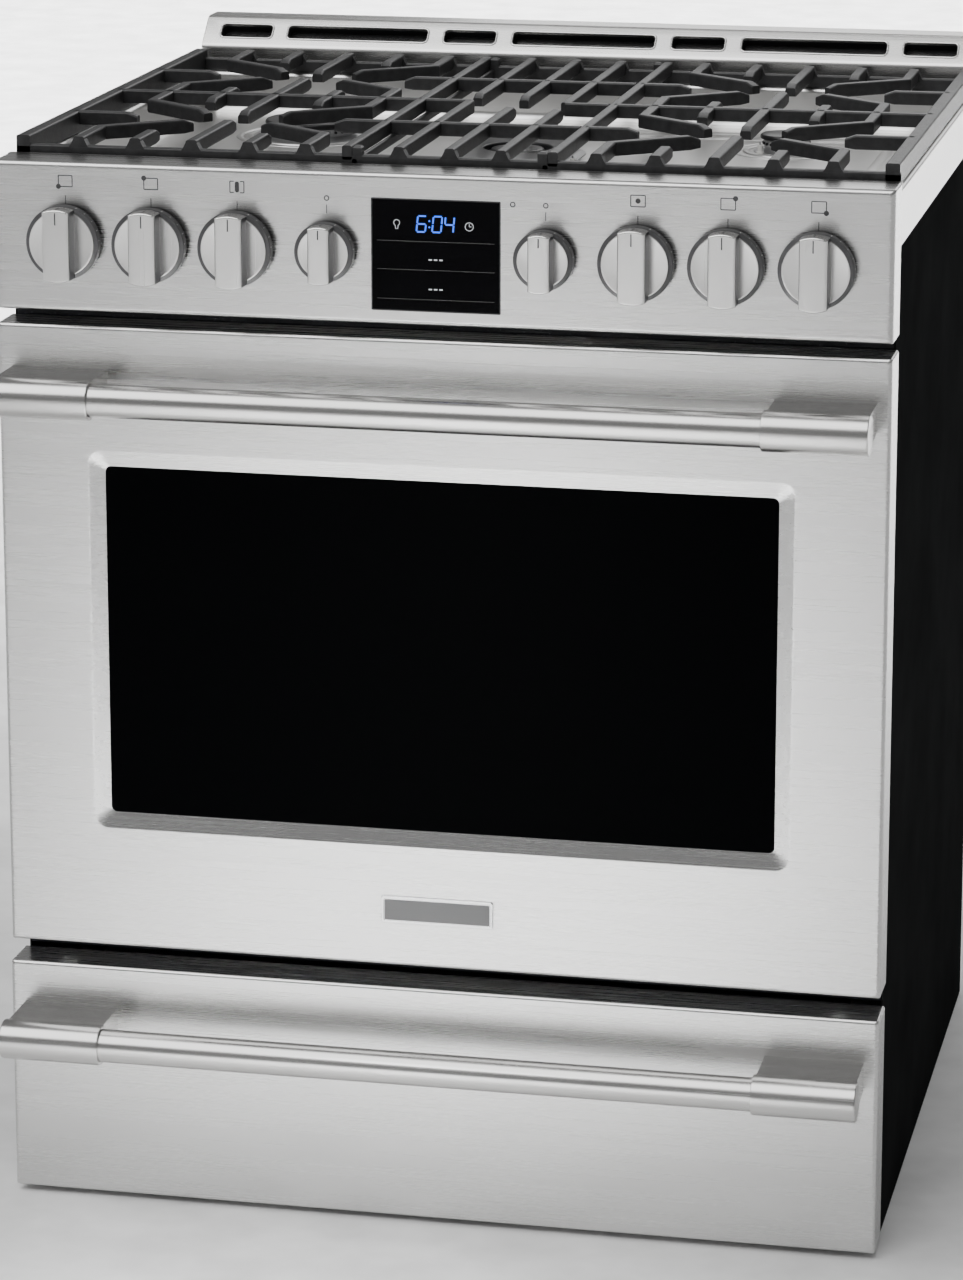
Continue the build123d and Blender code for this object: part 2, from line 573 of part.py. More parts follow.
INNER_WINDOW_WIDTH = 470.0
INNER_WINDOW_HEIGHT = 230.0
INNER_GLASS_D = LINER_BACK - LINER_THICKNESS - GLASS
INNER_GLASS_LAP = 14.0
with BuildPart() as door_glass_inner:
    slab(
        (-INNER_WINDOW_WIDTH / 2 - INNER_GLASS_LAP, INNER_WINDOW_WIDTH / 2 + INNER_GLASS_LAP),
        (INNER_GLASS_D, INNER_GLASS_D + GLASS),
        (
            WINDOW_Z - INNER_WINDOW_HEIGHT / 2 - INNER_GLASS_LAP,
            WINDOW_Z + INNER_WINDOW_HEIGHT / 2 + INNER_GLASS_LAP,
        ),
    )
finish_part(door_glass_inner, "door_glass_inner")

LINER_HALF = HALF - SHEET - GAP
with BuildPart() as door_liner:
    slab(
        (-LINER_HALF, LINER_HALF),
        (LINER_FRONT, LINER_BACK),
        (DOOR_BOTTOM + SHEET + GAP, DOOR_TOP - SHEET - GAP),
    )
    slab(
        (-INNER_WINDOW_WIDTH / 2, INNER_WINDOW_WIDTH / 2),
        LINER_CUTS,
        (WINDOW_Z - INNER_WINDOW_HEIGHT / 2, WINDOW_Z + INNER_WINDOW_HEIGHT / 2),
        Mode.SUBTRACT,
    )
    for side in (-1, 1):
        slab(
            (side * (HINGE_X - HINGE_SLOT_HALF), side * (HINGE_X + HINGE_SLOT_HALF)),
            LINER_CUTS,
            (DOOR_BOTTOM, HINGE_Z + HINGE_SLOT_RISE),
            Mode.SUBTRACT,
        )
finish_part(door_liner, "door_liner")

HINGE_ARM_HALF = 5.0
HINGE_PLATE_ZS = (HINGE_Z - 14.0, HINGE_Z + 24.0)
with BuildPart() as hinge_arms:
    for side in (-1, 1):
        arm = (side * (HINGE_X - HINGE_ARM_WIDTH / 2), side * (HINGE_X + HINGE_ARM_WIDTH / 2))
        axle(HINGE_D, HINGE_Z, arm, HINGE_EYE_RADIUS)
        slab(arm, (HINGE_D, FRAME_FACE), (HINGE_Z - HINGE_ARM_HALF, HINGE_Z + HINGE_ARM_HALF))
        plate = (side * (HINGE_X - HINGE_PLATE_HALF), side * (HINGE_X + HINGE_PLATE_HALF))
        slab(plate, (FRAME_FACE - 2.0, FRAME_FACE), HINGE_PLATE_ZS)
        axle(HINGE_D, HINGE_Z, arm, HINGE_PIN_RADIUS + FIT, Mode.SUBTRACT)
finish_part(hinge_arms, "hinge_arms")

CHEEK_OUT = 11.0
CHEEK_HALF = 2.0
CHEEK_FRONT = HINGE_D - 8.0
CHEEK_ZS = (HINGE_Z - 5.5, HINGE_Z + 70.0)
BRIDGE_THICKNESS = 3.0
BRIDGE_BOTTOM = HINGE_Z + 16.0
with BuildPart() as door_hinge_pins:
    for side in (-1, 1):
        pin_half = CHEEK_OUT + CHEEK_HALF
        axle(HINGE_D, HINGE_Z, (side * (HINGE_X - pin_half), side * (HINGE_X + pin_half)), HINGE_PIN_RADIUS)
        for step_out in (-CHEEK_OUT, CHEEK_OUT):
            cheek_x = side * (HINGE_X + step_out)
            slab((cheek_x - CHEEK_HALF, cheek_x + CHEEK_HALF), (CHEEK_FRONT, LINER_FRONT), CHEEK_ZS)
        bridge = (side * (HINGE_X - CHEEK_OUT + CHEEK_HALF), side * (HINGE_X + CHEEK_OUT - CHEEK_HALF))
        slab(bridge, (CHEEK_FRONT, CHEEK_FRONT + BRIDGE_THICKNESS), (BRIDGE_BOTTOM, CHEEK_ZS[1]))
finish_part(door_hinge_pins, "door_hinge_pins")

BADGE_WIDTH = 97.5
BADGE_HEIGHT = 24.0
BADGE_THICKNESS = 1.5
BADGE_DROP_FROM_WINDOW = 58.0
BADGE_Z = WINDOW_Z - WINDOW_HEIGHT / 2 - BADGE_DROP_FROM_WINDOW - BADGE_HEIGHT / 2
with BuildPart() as badge_plate:
    slab(
        (-BADGE_WIDTH / 2, BADGE_WIDTH / 2),
        (-BADGE_THICKNESS, 0.0),
        (BADGE_Z - BADGE_HEIGHT / 2, BADGE_Z + BADGE_HEIGHT / 2),
    )
finish_part(badge_plate, "badge_plate")


def make_handle(face_d, axis_z, bar_name, bracket_name):
    """A round bar held at both ends by sleeved standoff brackets."""
    end = HALF - HANDLE_END_MARGIN
    axis_d = face_d - HANDLE_REACH
    sleeve_start = end - HANDLE_SLEEVE_LENGTH
    with BuildPart() as bar:
        bar_end = sleeve_start + HANDLE_SOCKET
        axle(axis_d, axis_z, (-bar_end, bar_end), HANDLE_BAR_RADIUS)
    finish_part(bar, bar_name)
    with BuildPart() as brackets:
        for side in (-1, 1):
            inner_x = sleeve_start + (HANDLE_SLEEVE_LENGTH - STANDOFF_WIDTH) / 2
            with BuildSketch(Plane.YZ.offset(side * (inner_x + STANDOFF_WIDTH / 2))):
                with BuildLine():
                    Polyline(
                        (depth(face_d), axis_z + STANDOFF_RISE),
                        (depth(axis_d), axis_z + STANDOFF_RISE),
                        (depth(axis_d), axis_z - STANDOFF_RISE),
                        (depth(face_d), axis_z + STANDOFF_RISE - STANDOFF_ROOT),
                        close=True,
                    )
                make_face()
            extrude(amount=STANDOFF_WIDTH / 2, both=True)
            axle(axis_d, axis_z, (side * sleeve_start, side * end), HANDLE_SLEEVE_RADIUS)
            axle(
                axis_d, axis_z,
                (side * (sleeve_start - 1), side * (sleeve_start + HANDLE_SOCKET)),
                HANDLE_BAR_RADIUS + FIT,
                Mode.SUBTRACT,
            )
    finish_part(brackets, bracket_name)


make_handle(0.0, DOOR_TOP - HANDLE_DROP, "door_handle_bar", "door_handle_brackets")
make_handle(-DRAWER_PROUD, DRAWER_TOP - HANDLE_DROP, "drawer_handle_bar", "drawer_handle_brackets")

# ---------------------------------------------------------------- drawer
DRAWER_FACE_D = -DRAWER_PROUD
with BuildPart() as drawer_front:
    slab((-HALF, HALF), (DRAWER_FACE_D, DRAWER_FACE_D + FLANGE_DEPTH), (DRAWER_BOTTOM, DRAWER_TOP))
    fillet(drawer_front.edges().filter_by(Axis.Z).group_by(Axis.Y)[0], FLANGE_RADIUS)
    slab(
        (-HALF + SHEET, HALF - SHEET),
        (DRAWER_FACE_D + SHEET, DRAWER_FACE_D + FLANGE_DEPTH + 1),
        (DRAWER_BOTTOM + SHEET, DRAWER_TOP - SHEET),
        Mode.SUBTRACT,
    )
finish_part(drawer_front, "drawer_front")

RUNNER_FRONT = BOX_FRONT + SHEET + 8.0
with BuildPart() as drawer_box:
    slab(
        (-HALF + SHEET + GAP, HALF - SHEET - GAP),
        (BOX_FRONT, BOX_FRONT + SHEET),
        (DRAWER_BOTTOM + SHEET + GAP, DRAWER_TOP - SHEET - GAP),
    )
    slab(
        (-BOX_HALF, BOX_HALF),
        (BOX_FRONT + SHEET, BOX_BACK),
        (DRAWER_BOX_BOTTOM, BOX_TOP),
    )
    slab(
        (-BOX_HALF + SHEET, BOX_HALF - SHEET),
        (BOX_FRONT + SHEET, BOX_BACK - SHEET),
        (DRAWER_BOX_BOTTOM + SHEET, BOX_TOP + 1.0),
        Mode.SUBTRACT,
    )
    for side in (-1, 1):
        slab(
            (side * BOX_HALF, side * (BOX_HALF + RUNNER_WIDTH)),
            (RUNNER_FRONT, BOX_BACK),
            (RUNNER_Z - RUNNER_HEIGHT / 2, RUNNER_Z + RUNNER_HEIGHT / 2),
        )
finish_part(drawer_box, "drawer_box")

RAIL_DS = (BODY_FRONT + 8.0, BASE_BACK - 10.0)
with BuildPart() as drawer_rails:
    for side in (-1, 1):
        web = (side * (BOX_HALF + RUNNER_WIDTH + RAIL_PLAY), side * SLIDE_WALL_X)
        lip = (side * (BOX_HALF + GAP), side * (BOX_HALF + RUNNER_WIDTH + RAIL_PLAY))
        low = RUNNER_Z - RUNNER_HEIGHT / 2 - GAP
        high = RUNNER_Z + RUNNER_HEIGHT / 2 + GAP
        slab(web, RAIL_DS, (low - RAIL_FLANGE, high + RAIL_FLANGE))
        slab(lip, RAIL_DS, (low - RAIL_FLANGE, low))
        slab(lip, RAIL_DS, (high, high + RAIL_FLANGE))
finish_part(drawer_rails, "drawer_rails")

# ---------------------------------------------------------------- control panel
STEM_HOLE_CLEARANCE = 2.0
PANEL_LIP_D = GRATE_FRONT - 6.0
with BuildPart() as control_panel:
    slab((-HALF, HALF), (PANEL_SETBACK, PANEL_SETBACK + FLANGE_DEPTH), (PANEL_BOTTOM, PANEL_TOP))
    fillet(control_panel.edges().filter_by(Axis.Z).group_by(Axis.Y)[0], FLANGE_RADIUS)
    slab(
        (-HALF + SHEET, HALF - SHEET),
        (PANEL_SETBACK + SHEET, PANEL_SETBACK + FLANGE_DEPTH + 1),
        (PANEL_BOTTOM + SHEET, PANEL_TOP - SHEET),
        Mode.SUBTRACT,
    )
    slab((-HALF, HALF), (PANEL_SETBACK + FLANGE_DEPTH, PANEL_LIP_D), (PANEL_TOP - SHEET, PANEL_TOP))
    slab((-HALF, HALF), (PANEL_LIP_D - SHEET, PANEL_LIP_D), (RIM_Z + GAP, PANEL_TOP - SHEET))
    front_top = control_panel.edges().filter_by(Axis.X).group_by(Axis.Z)[-1].sort_by(Axis.Y)[0]
    fillet(front_top, SHEET * 0.9)
    for x in BURNER_KNOB_XS + (-OVEN_KNOB_X, OVEN_KNOB_X):
        spindle(x, KNOB_Z, (0, PANEL_SETBACK + SHEET + 1), STEM_RADIUS + STEM_HOLE_CLEARANCE, Mode.SUBTRACT)
    slab(
        (-DISPLAY_WIDTH / 2 - GAP, DISPLAY_WIDTH / 2 + GAP),
        (0, PANEL_SETBACK + SHEET + 1),
        (PANEL_TOP - DISPLAY_DROP - DISPLAY_HEIGHT - GAP, PANEL_TOP - DISPLAY_DROP + GAP),
        Mode.SUBTRACT,
    )
finish_part(control_panel, "control_panel")

DISPLAY_Z = PANEL_TOP - DISPLAY_DROP - DISPLAY_HEIGHT / 2
DISPLAY_FRONT = PANEL_SETBACK - 0.6
with BuildPart() as display_glass:
    slab(
        (-DISPLAY_WIDTH / 2, DISPLAY_WIDTH / 2),
        (DISPLAY_FRONT, DISPLAY_FRONT + GLASS),
        (DISPLAY_Z - DISPLAY_HEIGHT / 2, DISPLAY_Z + DISPLAY_HEIGHT / 2),
    )
finish_part(display_glass, "display_glass")

KNOB_BACK = PANEL_SETBACK - KNOB_STANDING_GAP
KNOB_BORE_DEPTH = 16.0
STEM_END = KNOB_BACK - KNOB_BORE_DEPTH + KNOB_PUSH + 1.0
VALVE_FRONT = PANEL_SETBACK + SHEET + 4.0
VALVE_LENGTH = 39.5
VALVE_BACK = VALVE_FRONT + VALVE_LENGTH
VALVE_HALF = 12.0
VALVE_ZS = (KNOB_Z - 18.0, KNOB_Z + 14.0)
SWITCH_LENGTH = 24.0
SWITCH_HALF = 15.0
STEM_SEAT = 20.0           # length of the stem inside the valve
with BuildPart() as control_valves:
    for x in BURNER_KNOB_XS:
        slab((x - VALVE_HALF, x + VALVE_HALF), (VALVE_FRONT, VALVE_BACK), VALVE_ZS)
        spindle(x, KNOB_Z, (VALVE_FRONT, VALVE_FRONT + STEM_SEAT + GAP), STEM_RADIUS + FIT, Mode.SUBTRACT)
    for x in (-OVEN_KNOB_X, OVEN_KNOB_X):
        slab(
            (x - SWITCH_HALF, x + SWITCH_HALF),
            (VALVE_FRONT, VALVE_FRONT + SWITCH_LENGTH),
            (KNOB_Z - SWITCH_HALF, KNOB_Z + SWITCH_HALF),
        )
        spindle(x, KNOB_Z, (STEM_END, VALVE_FRONT), STEM_RADIUS)
finish_part(control_valves, "control_valves")

BURNER_NAMES = ("3", "2", "1", "4", "5", "6")
for x, number in zip(BURNER_KNOB_XS, BURNER_NAMES):
    with BuildPart() as valve_stem:
        spindle(x, KNOB_Z, (STEM_END, VALVE_FRONT + STEM_SEAT), STEM_RADIUS)
    finish_part(valve_stem, "valve_stem_" + number)

MANIFOLD_RADIUS = 10.0
MANIFOLD_D = VALVE_BACK + MANIFOLD_RADIUS
MANIFOLD_Z = KNOB_Z - 4.0
MANIFOLD_HALF = HALF - 25.0
SUPPLY_RADIUS = 7.0
SUPPLY_Z = KNOB_Z - 50.5
SUPPLY_D = BODY_DEPTH - 65.0
SUPPLY_BLOCK_HALF = 8.0
REGULATOR_HALF = 24.0
INLET_BOSS_RADIUS = 15.0
with BuildPart() as gas_manifold:
    axle(MANIFOLD_D, MANIFOLD_Z, (-MANIFOLD_HALF, MANIFOLD_HALF), MANIFOLD_RADIUS)
    slab(
        (GAS_INLET_X - SUPPLY_BLOCK_HALF, GAS_INLET_X + SUPPLY_BLOCK_HALF),
        (MANIFOLD_D - SUPPLY_BLOCK_HALF, MANIFOLD_D + SUPPLY_BLOCK_HALF),
        (SUPPLY_Z - SUPPLY_RADIUS, MANIFOLD_Z),
    )
    spindle(GAS_INLET_X, SUPPLY_Z, (MANIFOLD_D, SUPPLY_D), SUPPLY_RADIUS)
    post(GAS_INLET_X, SUPPLY_D, (GAS_INLET_Z, SUPPLY_Z), SUPPLY_RADIUS)
    with Locations((GAS_INLET_X, depth(SUPPLY_D), SUPPLY_Z)):
        Sphere(SUPPLY_RADIUS)
    slab(
        (GAS_INLET_X - REGULATOR_HALF, GAS_INLET_X + REGULATOR_HALF),
        (SUPPLY_D - REGULATOR_HALF, SUPPLY_D + REGULATOR_HALF),
        (GAS_INLET_Z - REGULATOR_HALF, GAS_INLET_Z + REGULATOR_HALF),
    )
    spindle(GAS_INLET_X, GAS_INLET_Z, (SUPPLY_D + REGULATOR_HALF, BODY_DEPTH), INLET_BOSS_RADIUS)
    spindle(
        GAS_INLET_X, GAS_INLET_Z,
        (BODY_DEPTH - GAS_INLET_LENGTH, BODY_DEPTH),
        GAS_INLET_RADIUS,
        Mode.SUBTRACT,
    )
finish_part(gas_manifold, "gas_manifold")


def make_knob(x, radius, name):
    """A knob with a dark skirt, a disc and a grip bar across its full diameter."""
    skirt_end = KNOB_BACK - KNOB_SKIRT_DEPTH
    disc_end = skirt_end - KNOB_DISC_DEPTH
    grip_end = disc_end - KNOB_GRIP_HEIGHT
    half_grip = KNOB_GRIP_WIDTH / 2 * radius / KNOB_RADIUS
    with BuildPart() as knob:
        spindle(x, KNOB_Z, (skirt_end, KNOB_BACK), radius)
        spindle(x, KNOB_Z, (disc_end, skirt_end), radius - KNOB_DISC_INSET)
        with BuildSketch(Plane.XZ.offset(-depth(disc_end))):
            with Locations((x, KNOB_Z)):
                Circle(radius - 2 * KNOB_DISC_INSET)
                Rectangle(2 * half_grip, 2 * radius, mode=Mode.INTERSECT)
        extrude(amount=disc_end - grip_end)
        fillet(knob.edges().group_by(Axis.Y)[0], KNOB_EDGE)
        spindle(x, KNOB_Z, (KNOB_BACK - KNOB_BORE_DEPTH, KNOB_BACK), STEM_RADIUS + FIT, Mode.SUBTRACT)
    finish_part(knob, name)


for x, number in zip(BURNER_KNOB_XS, BURNER_NAMES):
    make_knob(x, KNOB_RADIUS, "knob_burner_" + number)
make_knob(-OVEN_KNOB_X, OVEN_KNOB_RADIUS, "knob_oven_mode")
make_knob(OVEN_KNOB_X, OVEN_KNOB_RADIUS, "knob_oven_temperature")

# ---------------------------------------------------------------- cooktop
PAN_HALF = SKIRT_HALF - PAN_SIDE_RIM
LIP_NOTCH = 4.0            # cooktop cut back under the control panel's lip
FLUE_HALF = HALF - 79.4
FLUE_FRONT_LEDGE = 8.0
FLUE_BACK_LEDGE = 12.0
RIM_FRONT = PANEL_LIP_D + GAP
CENTRE_HALF_LENGTH = 118.0
CENTRE_RADIUS = 44.0
CENTRE_HOLE = 30.0
INNER_CAP_RADIUS = 24.0
ROUND_BURNERS = (
    ("front_left", -BURNER_X, FRONT_BURNER_D, 33.0),
    ("back_left", -BURNER_X, BACK_BURNER_D, 44.0),
    ("front_right", BURNER_X, FRONT_BURNER_D, 40.0),
    ("back_right", BURNER_X, BACK_BURNER_D, 24.0),
)
with BuildPart() as cooktop:
    slab((-SKIRT_HALF, SKIRT_HALF), (SKIRT_FRONT, BODY_DEPTH), (SKIRT_BOTTOM, RIM_Z))
    slab(
        (-SKIRT_HALF + SHEET, SKIRT_HALF - SHEET),
        (SKIRT_FRONT - 1, BODY_DEPTH - SHEET),
        (SKIRT_BOTTOM - 1, RIM_Z - SHEET),
        Mode.SUBTRACT,
    )
    slab(
        (-SKIRT_HALF - 1, SKIRT_HALF + 1),
        (SKIRT_FRONT - 1, RIM_FRONT),
        (RIM_Z - SHEET - LIP_NOTCH, RIM_Z + 1),
        Mode.SUBTRACT,
    )
    slab(
        (-PAN_HALF - SHEET, PAN_HALF + SHEET),
        (PAN_FRONT - SHEET, PAN_BACK + SHEET),
        (PAN_Z - SHEET, RIM_Z),
    )
    slab((-PAN_HALF, PAN_HALF), (PAN_FRONT, PAN_BACK), (PAN_Z, RIM_Z + 1), Mode.SUBTRACT)
    slab(
        (-FLUE_HALF, FLUE_HALF),
        (RISER_FRONT + FLUE_FRONT_LEDGE, BODY_DEPTH - FLUE_BACK_LEDGE),
        (RIM_Z - SHEET - 1, RIM_Z + 1),
        Mode.SUBTRACT,
    )
    for _, x, d, _ in ROUND_BURNERS:
        post(x, d, (PAN_Z - SHEET - 1, PAN_Z + 1), THROAT_RADIUS + THROAT_CLEARANCE, Mode.SUBTRACT)
    post(0, GRATE_MIDDLE, (PAN_Z - SHEET - 1, PAN_Z + 1), THROAT_RADIUS + THROAT_CLEARANCE, Mode.SUBTRACT)
finish_part(cooktop, "cooktop")

THROAT_BOTTOM = PAN_Z - THROAT_DEPTH
HEAD_HALF_LENGTH = CENTRE_HALF_LENGTH - HEAD_INSET
HEAD_HALF_WIDTH = CENTRE_RADIUS - HEAD_INSET
HEAD_PLATE = 2.0
with BuildPart() as burner_heads:
    for _, x, d, cap_radius in ROUND_BURNERS:
        post(x, d, (PAN_Z, HEAD_TOP), cap_radius - HEAD_INSET)
        post(x, d, (THROAT_BOTTOM, PAN_Z), THROAT_RADIUS)
        post(x, d, (THROAT_BOTTOM, PAN_Z - THROAT_COLLAR_DROP), THROAT_RADIUS + THROAT_COLLAR)
    with BuildSketch(Plane.XY.offset(PAN_Z)):
        with Locations((0, depth(GRATE_MIDDLE))):
            SlotOverall(2 * HEAD_HALF_LENGTH, 2 * HEAD_HALF_WIDTH, rotation=90)
            Circle(CENTRE_HOLE + HEAD_PLATE, mode=Mode.SUBTRACT)
            Circle(INNER_CAP_RADIUS - HEAD_INSET)
    extrude(amount=HEAD_HEIGHT)
    with BuildSketch(Plane.XY.offset(PAN_Z)):
        with Locations((0, depth(GRATE_MIDDLE))):
            SlotOverall(2 * HEAD_HALF_LENGTH, 2 * HEAD_HALF_WIDTH, rotation=90)
    extrude(amount=HEAD_PLATE)
    post(0, GRATE_MIDDLE, (THROAT_BOTTOM, PAN_Z), THROAT_RADIUS)
    post(0, GRATE_MIDDLE, (THROAT_BOTTOM, PAN_Z - THROAT_COLLAR_DROP), THROAT_RADIUS + THROAT_COLLAR)
finish_part(burner_heads, "burner_heads")

IGNITER_CLEARANCE = 6.0
IGNITER_RADIUS = 2.5
IGNITER_TOP = HEAD_TOP - 1.0
with BuildPart() as igniters:
    for _, x, d, cap_radius in ROUND_BURNERS:
        reach = cap_radius + IGNITER_CLEARANCE
        aside = reach * cos(radians(45))
        post(x - aside, d - aside, (PAN_Z, IGNITER_TOP), IGNITER_RADIUS)
    post(CENTRE_RADIUS + IGNITER_CLEARANCE, GRATE_MIDDLE, (PAN_Z, IGNITER_TOP), IGNITER_RADIUS)
finish_part(igniters, "igniters")

CAP_BOTTOM = HEAD_TOP + GAP
CAP_EDGE = 2.0
for label, x, d, cap_radius in ROUND_BURNERS:
    with BuildPart() as cap:
        post(x, d, (CAP_BOTTOM, CAP_BOTTOM + CAP_THICKNESS), cap_radius)
        fillet(cap.edges().group_by(Axis.Z)[-1], CAP_EDGE)
    finish_part(cap, "burner_cap_" + label)

with BuildPart() as centre_ring_cap:
    with BuildSketch(Plane.XY.offset(CAP_BOTTOM)):
        with Locations((0, depth(GRATE_MIDDLE))):
            SlotOverall(2 * CENTRE_HALF_LENGTH, 2 * CENTRE_RADIUS, rotation=90)
            Circle(CENTRE_HOLE, mode=Mode.SUBTRACT)
    extrude(amount=CAP_THICKNESS)
    fillet(centre_ring_cap.edges().group_by(Axis.Z)[-1], CAP_EDGE)
finish_part(centre_ring_cap, "burner_cap_centre_oval")

with BuildPart() as centre_cap:
    post(0, GRATE_MIDDLE, (CAP_BOTTOM, CAP_BOTTOM + CAP_THICKNESS), INNER_CAP_RADIUS)
    fillet(centre_cap.edges().group_by(Axis.Z)[-1], CAP_EDGE)
finish_part(centre_cap, "burner_cap_centre_round")

# ---------------------------------------------------------------- vent riser
RISER_HALF = HALF - RISER_INSET
RISER_BEND_Z = RIM_Z + RISER_FOOT_RISE
RISER_TOP = RISER_BEND_Z + RISER_SLOPE_RISE
RISER_CREST = RISER_FRONT + RISER_SLOPE_RUN
RISER_BACK = BODY_DEPTH - 0.5
SLOPE_ANGLE = degrees(atan2(RISER_SLOPE_RISE, RISER_SLOPE_RUN))
with BuildPart() as vent_riser:
    with BuildSketch(Plane.YZ):
        with BuildLine():
            Polyline(
                (depth(RISER_FRONT), RIM_Z),
                (depth(RISER_FRONT), RISER_BEND_Z),
                (depth(RISER_CREST), RISER_TOP),
                (depth(RISER_BACK), RISER_TOP),
                (depth(RISER_BACK), RIM_Z),
                close=True,
            )
        make_face()
    extrude(amount=RISER_HALF, both=True)
    bottom = vent_riser.faces().sort_by(Axis.Z)[0]
    offset(amount=-SHEET, openings=bottom)
    slope_plane = Plane(
        origin=(0, depth(RISER_FRONT + RISER_SLOPE_RUN / 2), RISER_BEND_Z + RISER_SLOPE_RISE / 2),
        x_dir=(1, 0, 0),
        z_dir=(0, -sin(radians(SLOPE_ANGLE)), cos(radians(SLOPE_ANGLE))),
    )
    with BuildSketch(slope_plane):
        for centre, length in SLOT_CENTRES:
            for side in (-1, 1):
                with Locations((side * centre, 0)):
                    RectangleRounded(length, SLOT_HEIGHT, SLOT_CORNER)
    extrude(amount=2 * SHEET, both=True, mode=Mode.SUBTRACT)
finish_part(vent_riser, "vent_riser")


# ---------------------------------------------------------------- grates
def bar_corners(start, end, width):
    """Plan corners of a straight bar between two points (x, depth)."""
    run_x = end[0] - start[0]
    run_d = end[1] - start[1]
    length = hypot(run_x, run_d)
    side_x = -run_d / length * width / 2
    side_d = run_x / length * width / 2
    return (
        (start[0] + side_x, depth(start[1] + side_d)),
        (end[0] + side_x, depth(end[1] + side_d)),
        (end[0] - side_x, depth(end[1] - side_d)),
        (start[0] - side_x, depth(start[1] - side_d)),
    )


def add_bars(paths, width, zs):
    """Extrude bars that follow paths of plan points between two heights."""
    with BuildSketch(Plane.XY.offset(zs[0])) as bars:
        for path in paths:
            for start, end in zip(path, path[1:]):
                Polygon(*bar_corners(start, end, width), align=None)
            for turn in path[1:-1]:
                with Locations((turn[0], depth(turn[1]))):
                    Circle(width / 2)
    extrude(bars.sketch, amount=zs[1] - zs[0])


def side_grate_paths(centre_x):
    """Finger paths of a side grate, mirrored front to back about its middle."""
    rail_d = GRATE_FRONT + END_RAIL_WIDTH / 2
    far_x = 2 * FINGER_SPACING
    short_end = FRONT_BURNER_D - SHORT_FINGER_STANDOFF
    stub_start = GRATE_MIDDLE - STUB_HALF
    half = [
        [(centre_x, rail_d), (centre_x, FRONT_BURNER_D - LONG_FINGER_STANDOFF)],
        [(centre_x, FRONT_BURNER_D + BAR_STANDOFF), (centre_x, GRATE_MIDDLE)],
    ]
    for side in (-1, 1):
        end = (centre_x + side * ARM_END_X, FRONT_BURNER_D - ARM_END_D)
        turn = (centre_x + side * far_x, FRONT_BURNER_D - ARM_TURN)
        half.append([(turn[0], rail_d), turn, end])
        end = (centre_x + side * ARM_END_X, FRONT_BURNER_D + ARM_END_D)
        turn = (centre_x + side * far_x, FRONT_BURNER_D + ARM_TURN)
        half.append([end, turn, (turn[0], GRATE_MIDDLE)])
        near_x = centre_x + side * FINGER_SPACING
        half.append([(near_x, rail_d), (near_x, short_end)])
        half.append([(near_x, stub_start), (near_x, GRATE_MIDDLE)])
    mirrored = [[(x, 2 * GRATE_MIDDLE - d) for x, d in path] for path in half]
    return half + mirrored


STUB_REACH = 89.0
for side, name in ((-1, "grate_left"), (1, "grate_right")):
    with BuildPart() as grate:
        outer = (side * (GRATE_OUTER_X - OUTER_RAIL_WIDTH), side * GRATE_OUTER_X)
        seam = (side * (GRATE_SEAM_X + GAP), side * (GRATE_SEAM_X + INNER_RAIL_WIDTH))
        slab(outer, (GRATE_FRONT, GRATE_BACK), (GRATE_FOOT, GRATE_TOP))
        slab(seam, (GRATE_FRONT, GRATE_BACK), (FINGER_UNDERSIDE, GRATE_TOP))
        for edge in (GRATE_FRONT, GRATE_BACK - END_RAIL_WIDTH):
            slab(
                (seam[0], outer[1]),
                (edge, edge + END_RAIL_WIDTH),
                (GRATE_FOOT, END_RAIL_TOP),
            )
        centre_x = side * BURNER_X
        add_bars(side_grate_paths(centre_x), FINGER_WIDTH, (FINGER_UNDERSIDE, GRATE_TOP))
        for burner_d in (FRONT_BURNER_D, BACK_BURNER_D):
            add_bars(
                [
                    [(outer[0], burner_d), (side * (BURNER_X + STUB_REACH), burner_d)],
                    [(seam[1], burner_d), (side * (BURNER_X - STUB_REACH), burner_d)],
                ],
                FINGER_WIDTH,
                (FINGER_UNDERSIDE, GRATE_TOP),
            )
        middle_bar = [(outer[0], GRATE_MIDDLE), (seam[1], GRATE_MIDDLE)]
        add_bars([middle_bar], FINGER_WIDTH, (FINGER_UNDERSIDE, GRATE_TOP))
    finish_part(grate, name)

CENTRE_FINGER_X = 43.5
CENTRE_FINGER_WIDTH = 8.5
CENTRE_STANDOFF = 27.0
SIDE_STANDOFF = 32.0
SIDE_RIB_WIDTH = 4.0
with BuildPart() as grate_centre:
    edge_x = GRATE_SEAM_X
    rail_d = GRATE_FRONT + END_RAIL_WIDTH / 2
    half_paths = [
        [(-edge_x, FRONT_BURNER_D), (edge_x, FRONT_BURNER_D)],
        [(-CENTRE_FINGER_X, rail_d), (-CENTRE_FINGER_X, GRATE_MIDDLE), (-edge_x, GRATE_MIDDLE)],
        [(0, rail_d), (0, GRATE_MIDDLE - CENTRE_STANDOFF)],
        [(CENTRE_FINGER_X, rail_d), (CENTRE_FINGER_X, GRATE_MIDDLE - SIDE_STANDOFF)],
    ]
    turned = [[(-x, 2 * GRATE_MIDDLE - d) for x, d in path] for path in half_paths]
    add_bars(half_paths + turned, CENTRE_FINGER_WIDTH, (FINGER_UNDERSIDE, GRATE_TOP))
    for edge in (GRATE_FRONT, GRATE_BACK - END_RAIL_WIDTH):
        slab((-edge_x, edge_x), (edge, edge + END_RAIL_WIDTH), (GRATE_FOOT, END_RAIL_TOP))
    for side in (-1, 1):
        rib = (side * (edge_x - SIDE_RIB_WIDTH), side * edge_x)
        slab(rib, (GRATE_FRONT, GRATE_BACK), (GRATE_FOOT, FINGER_UNDERSIDE + 1.0))
finish_part(grate_centre, "grate_centre")
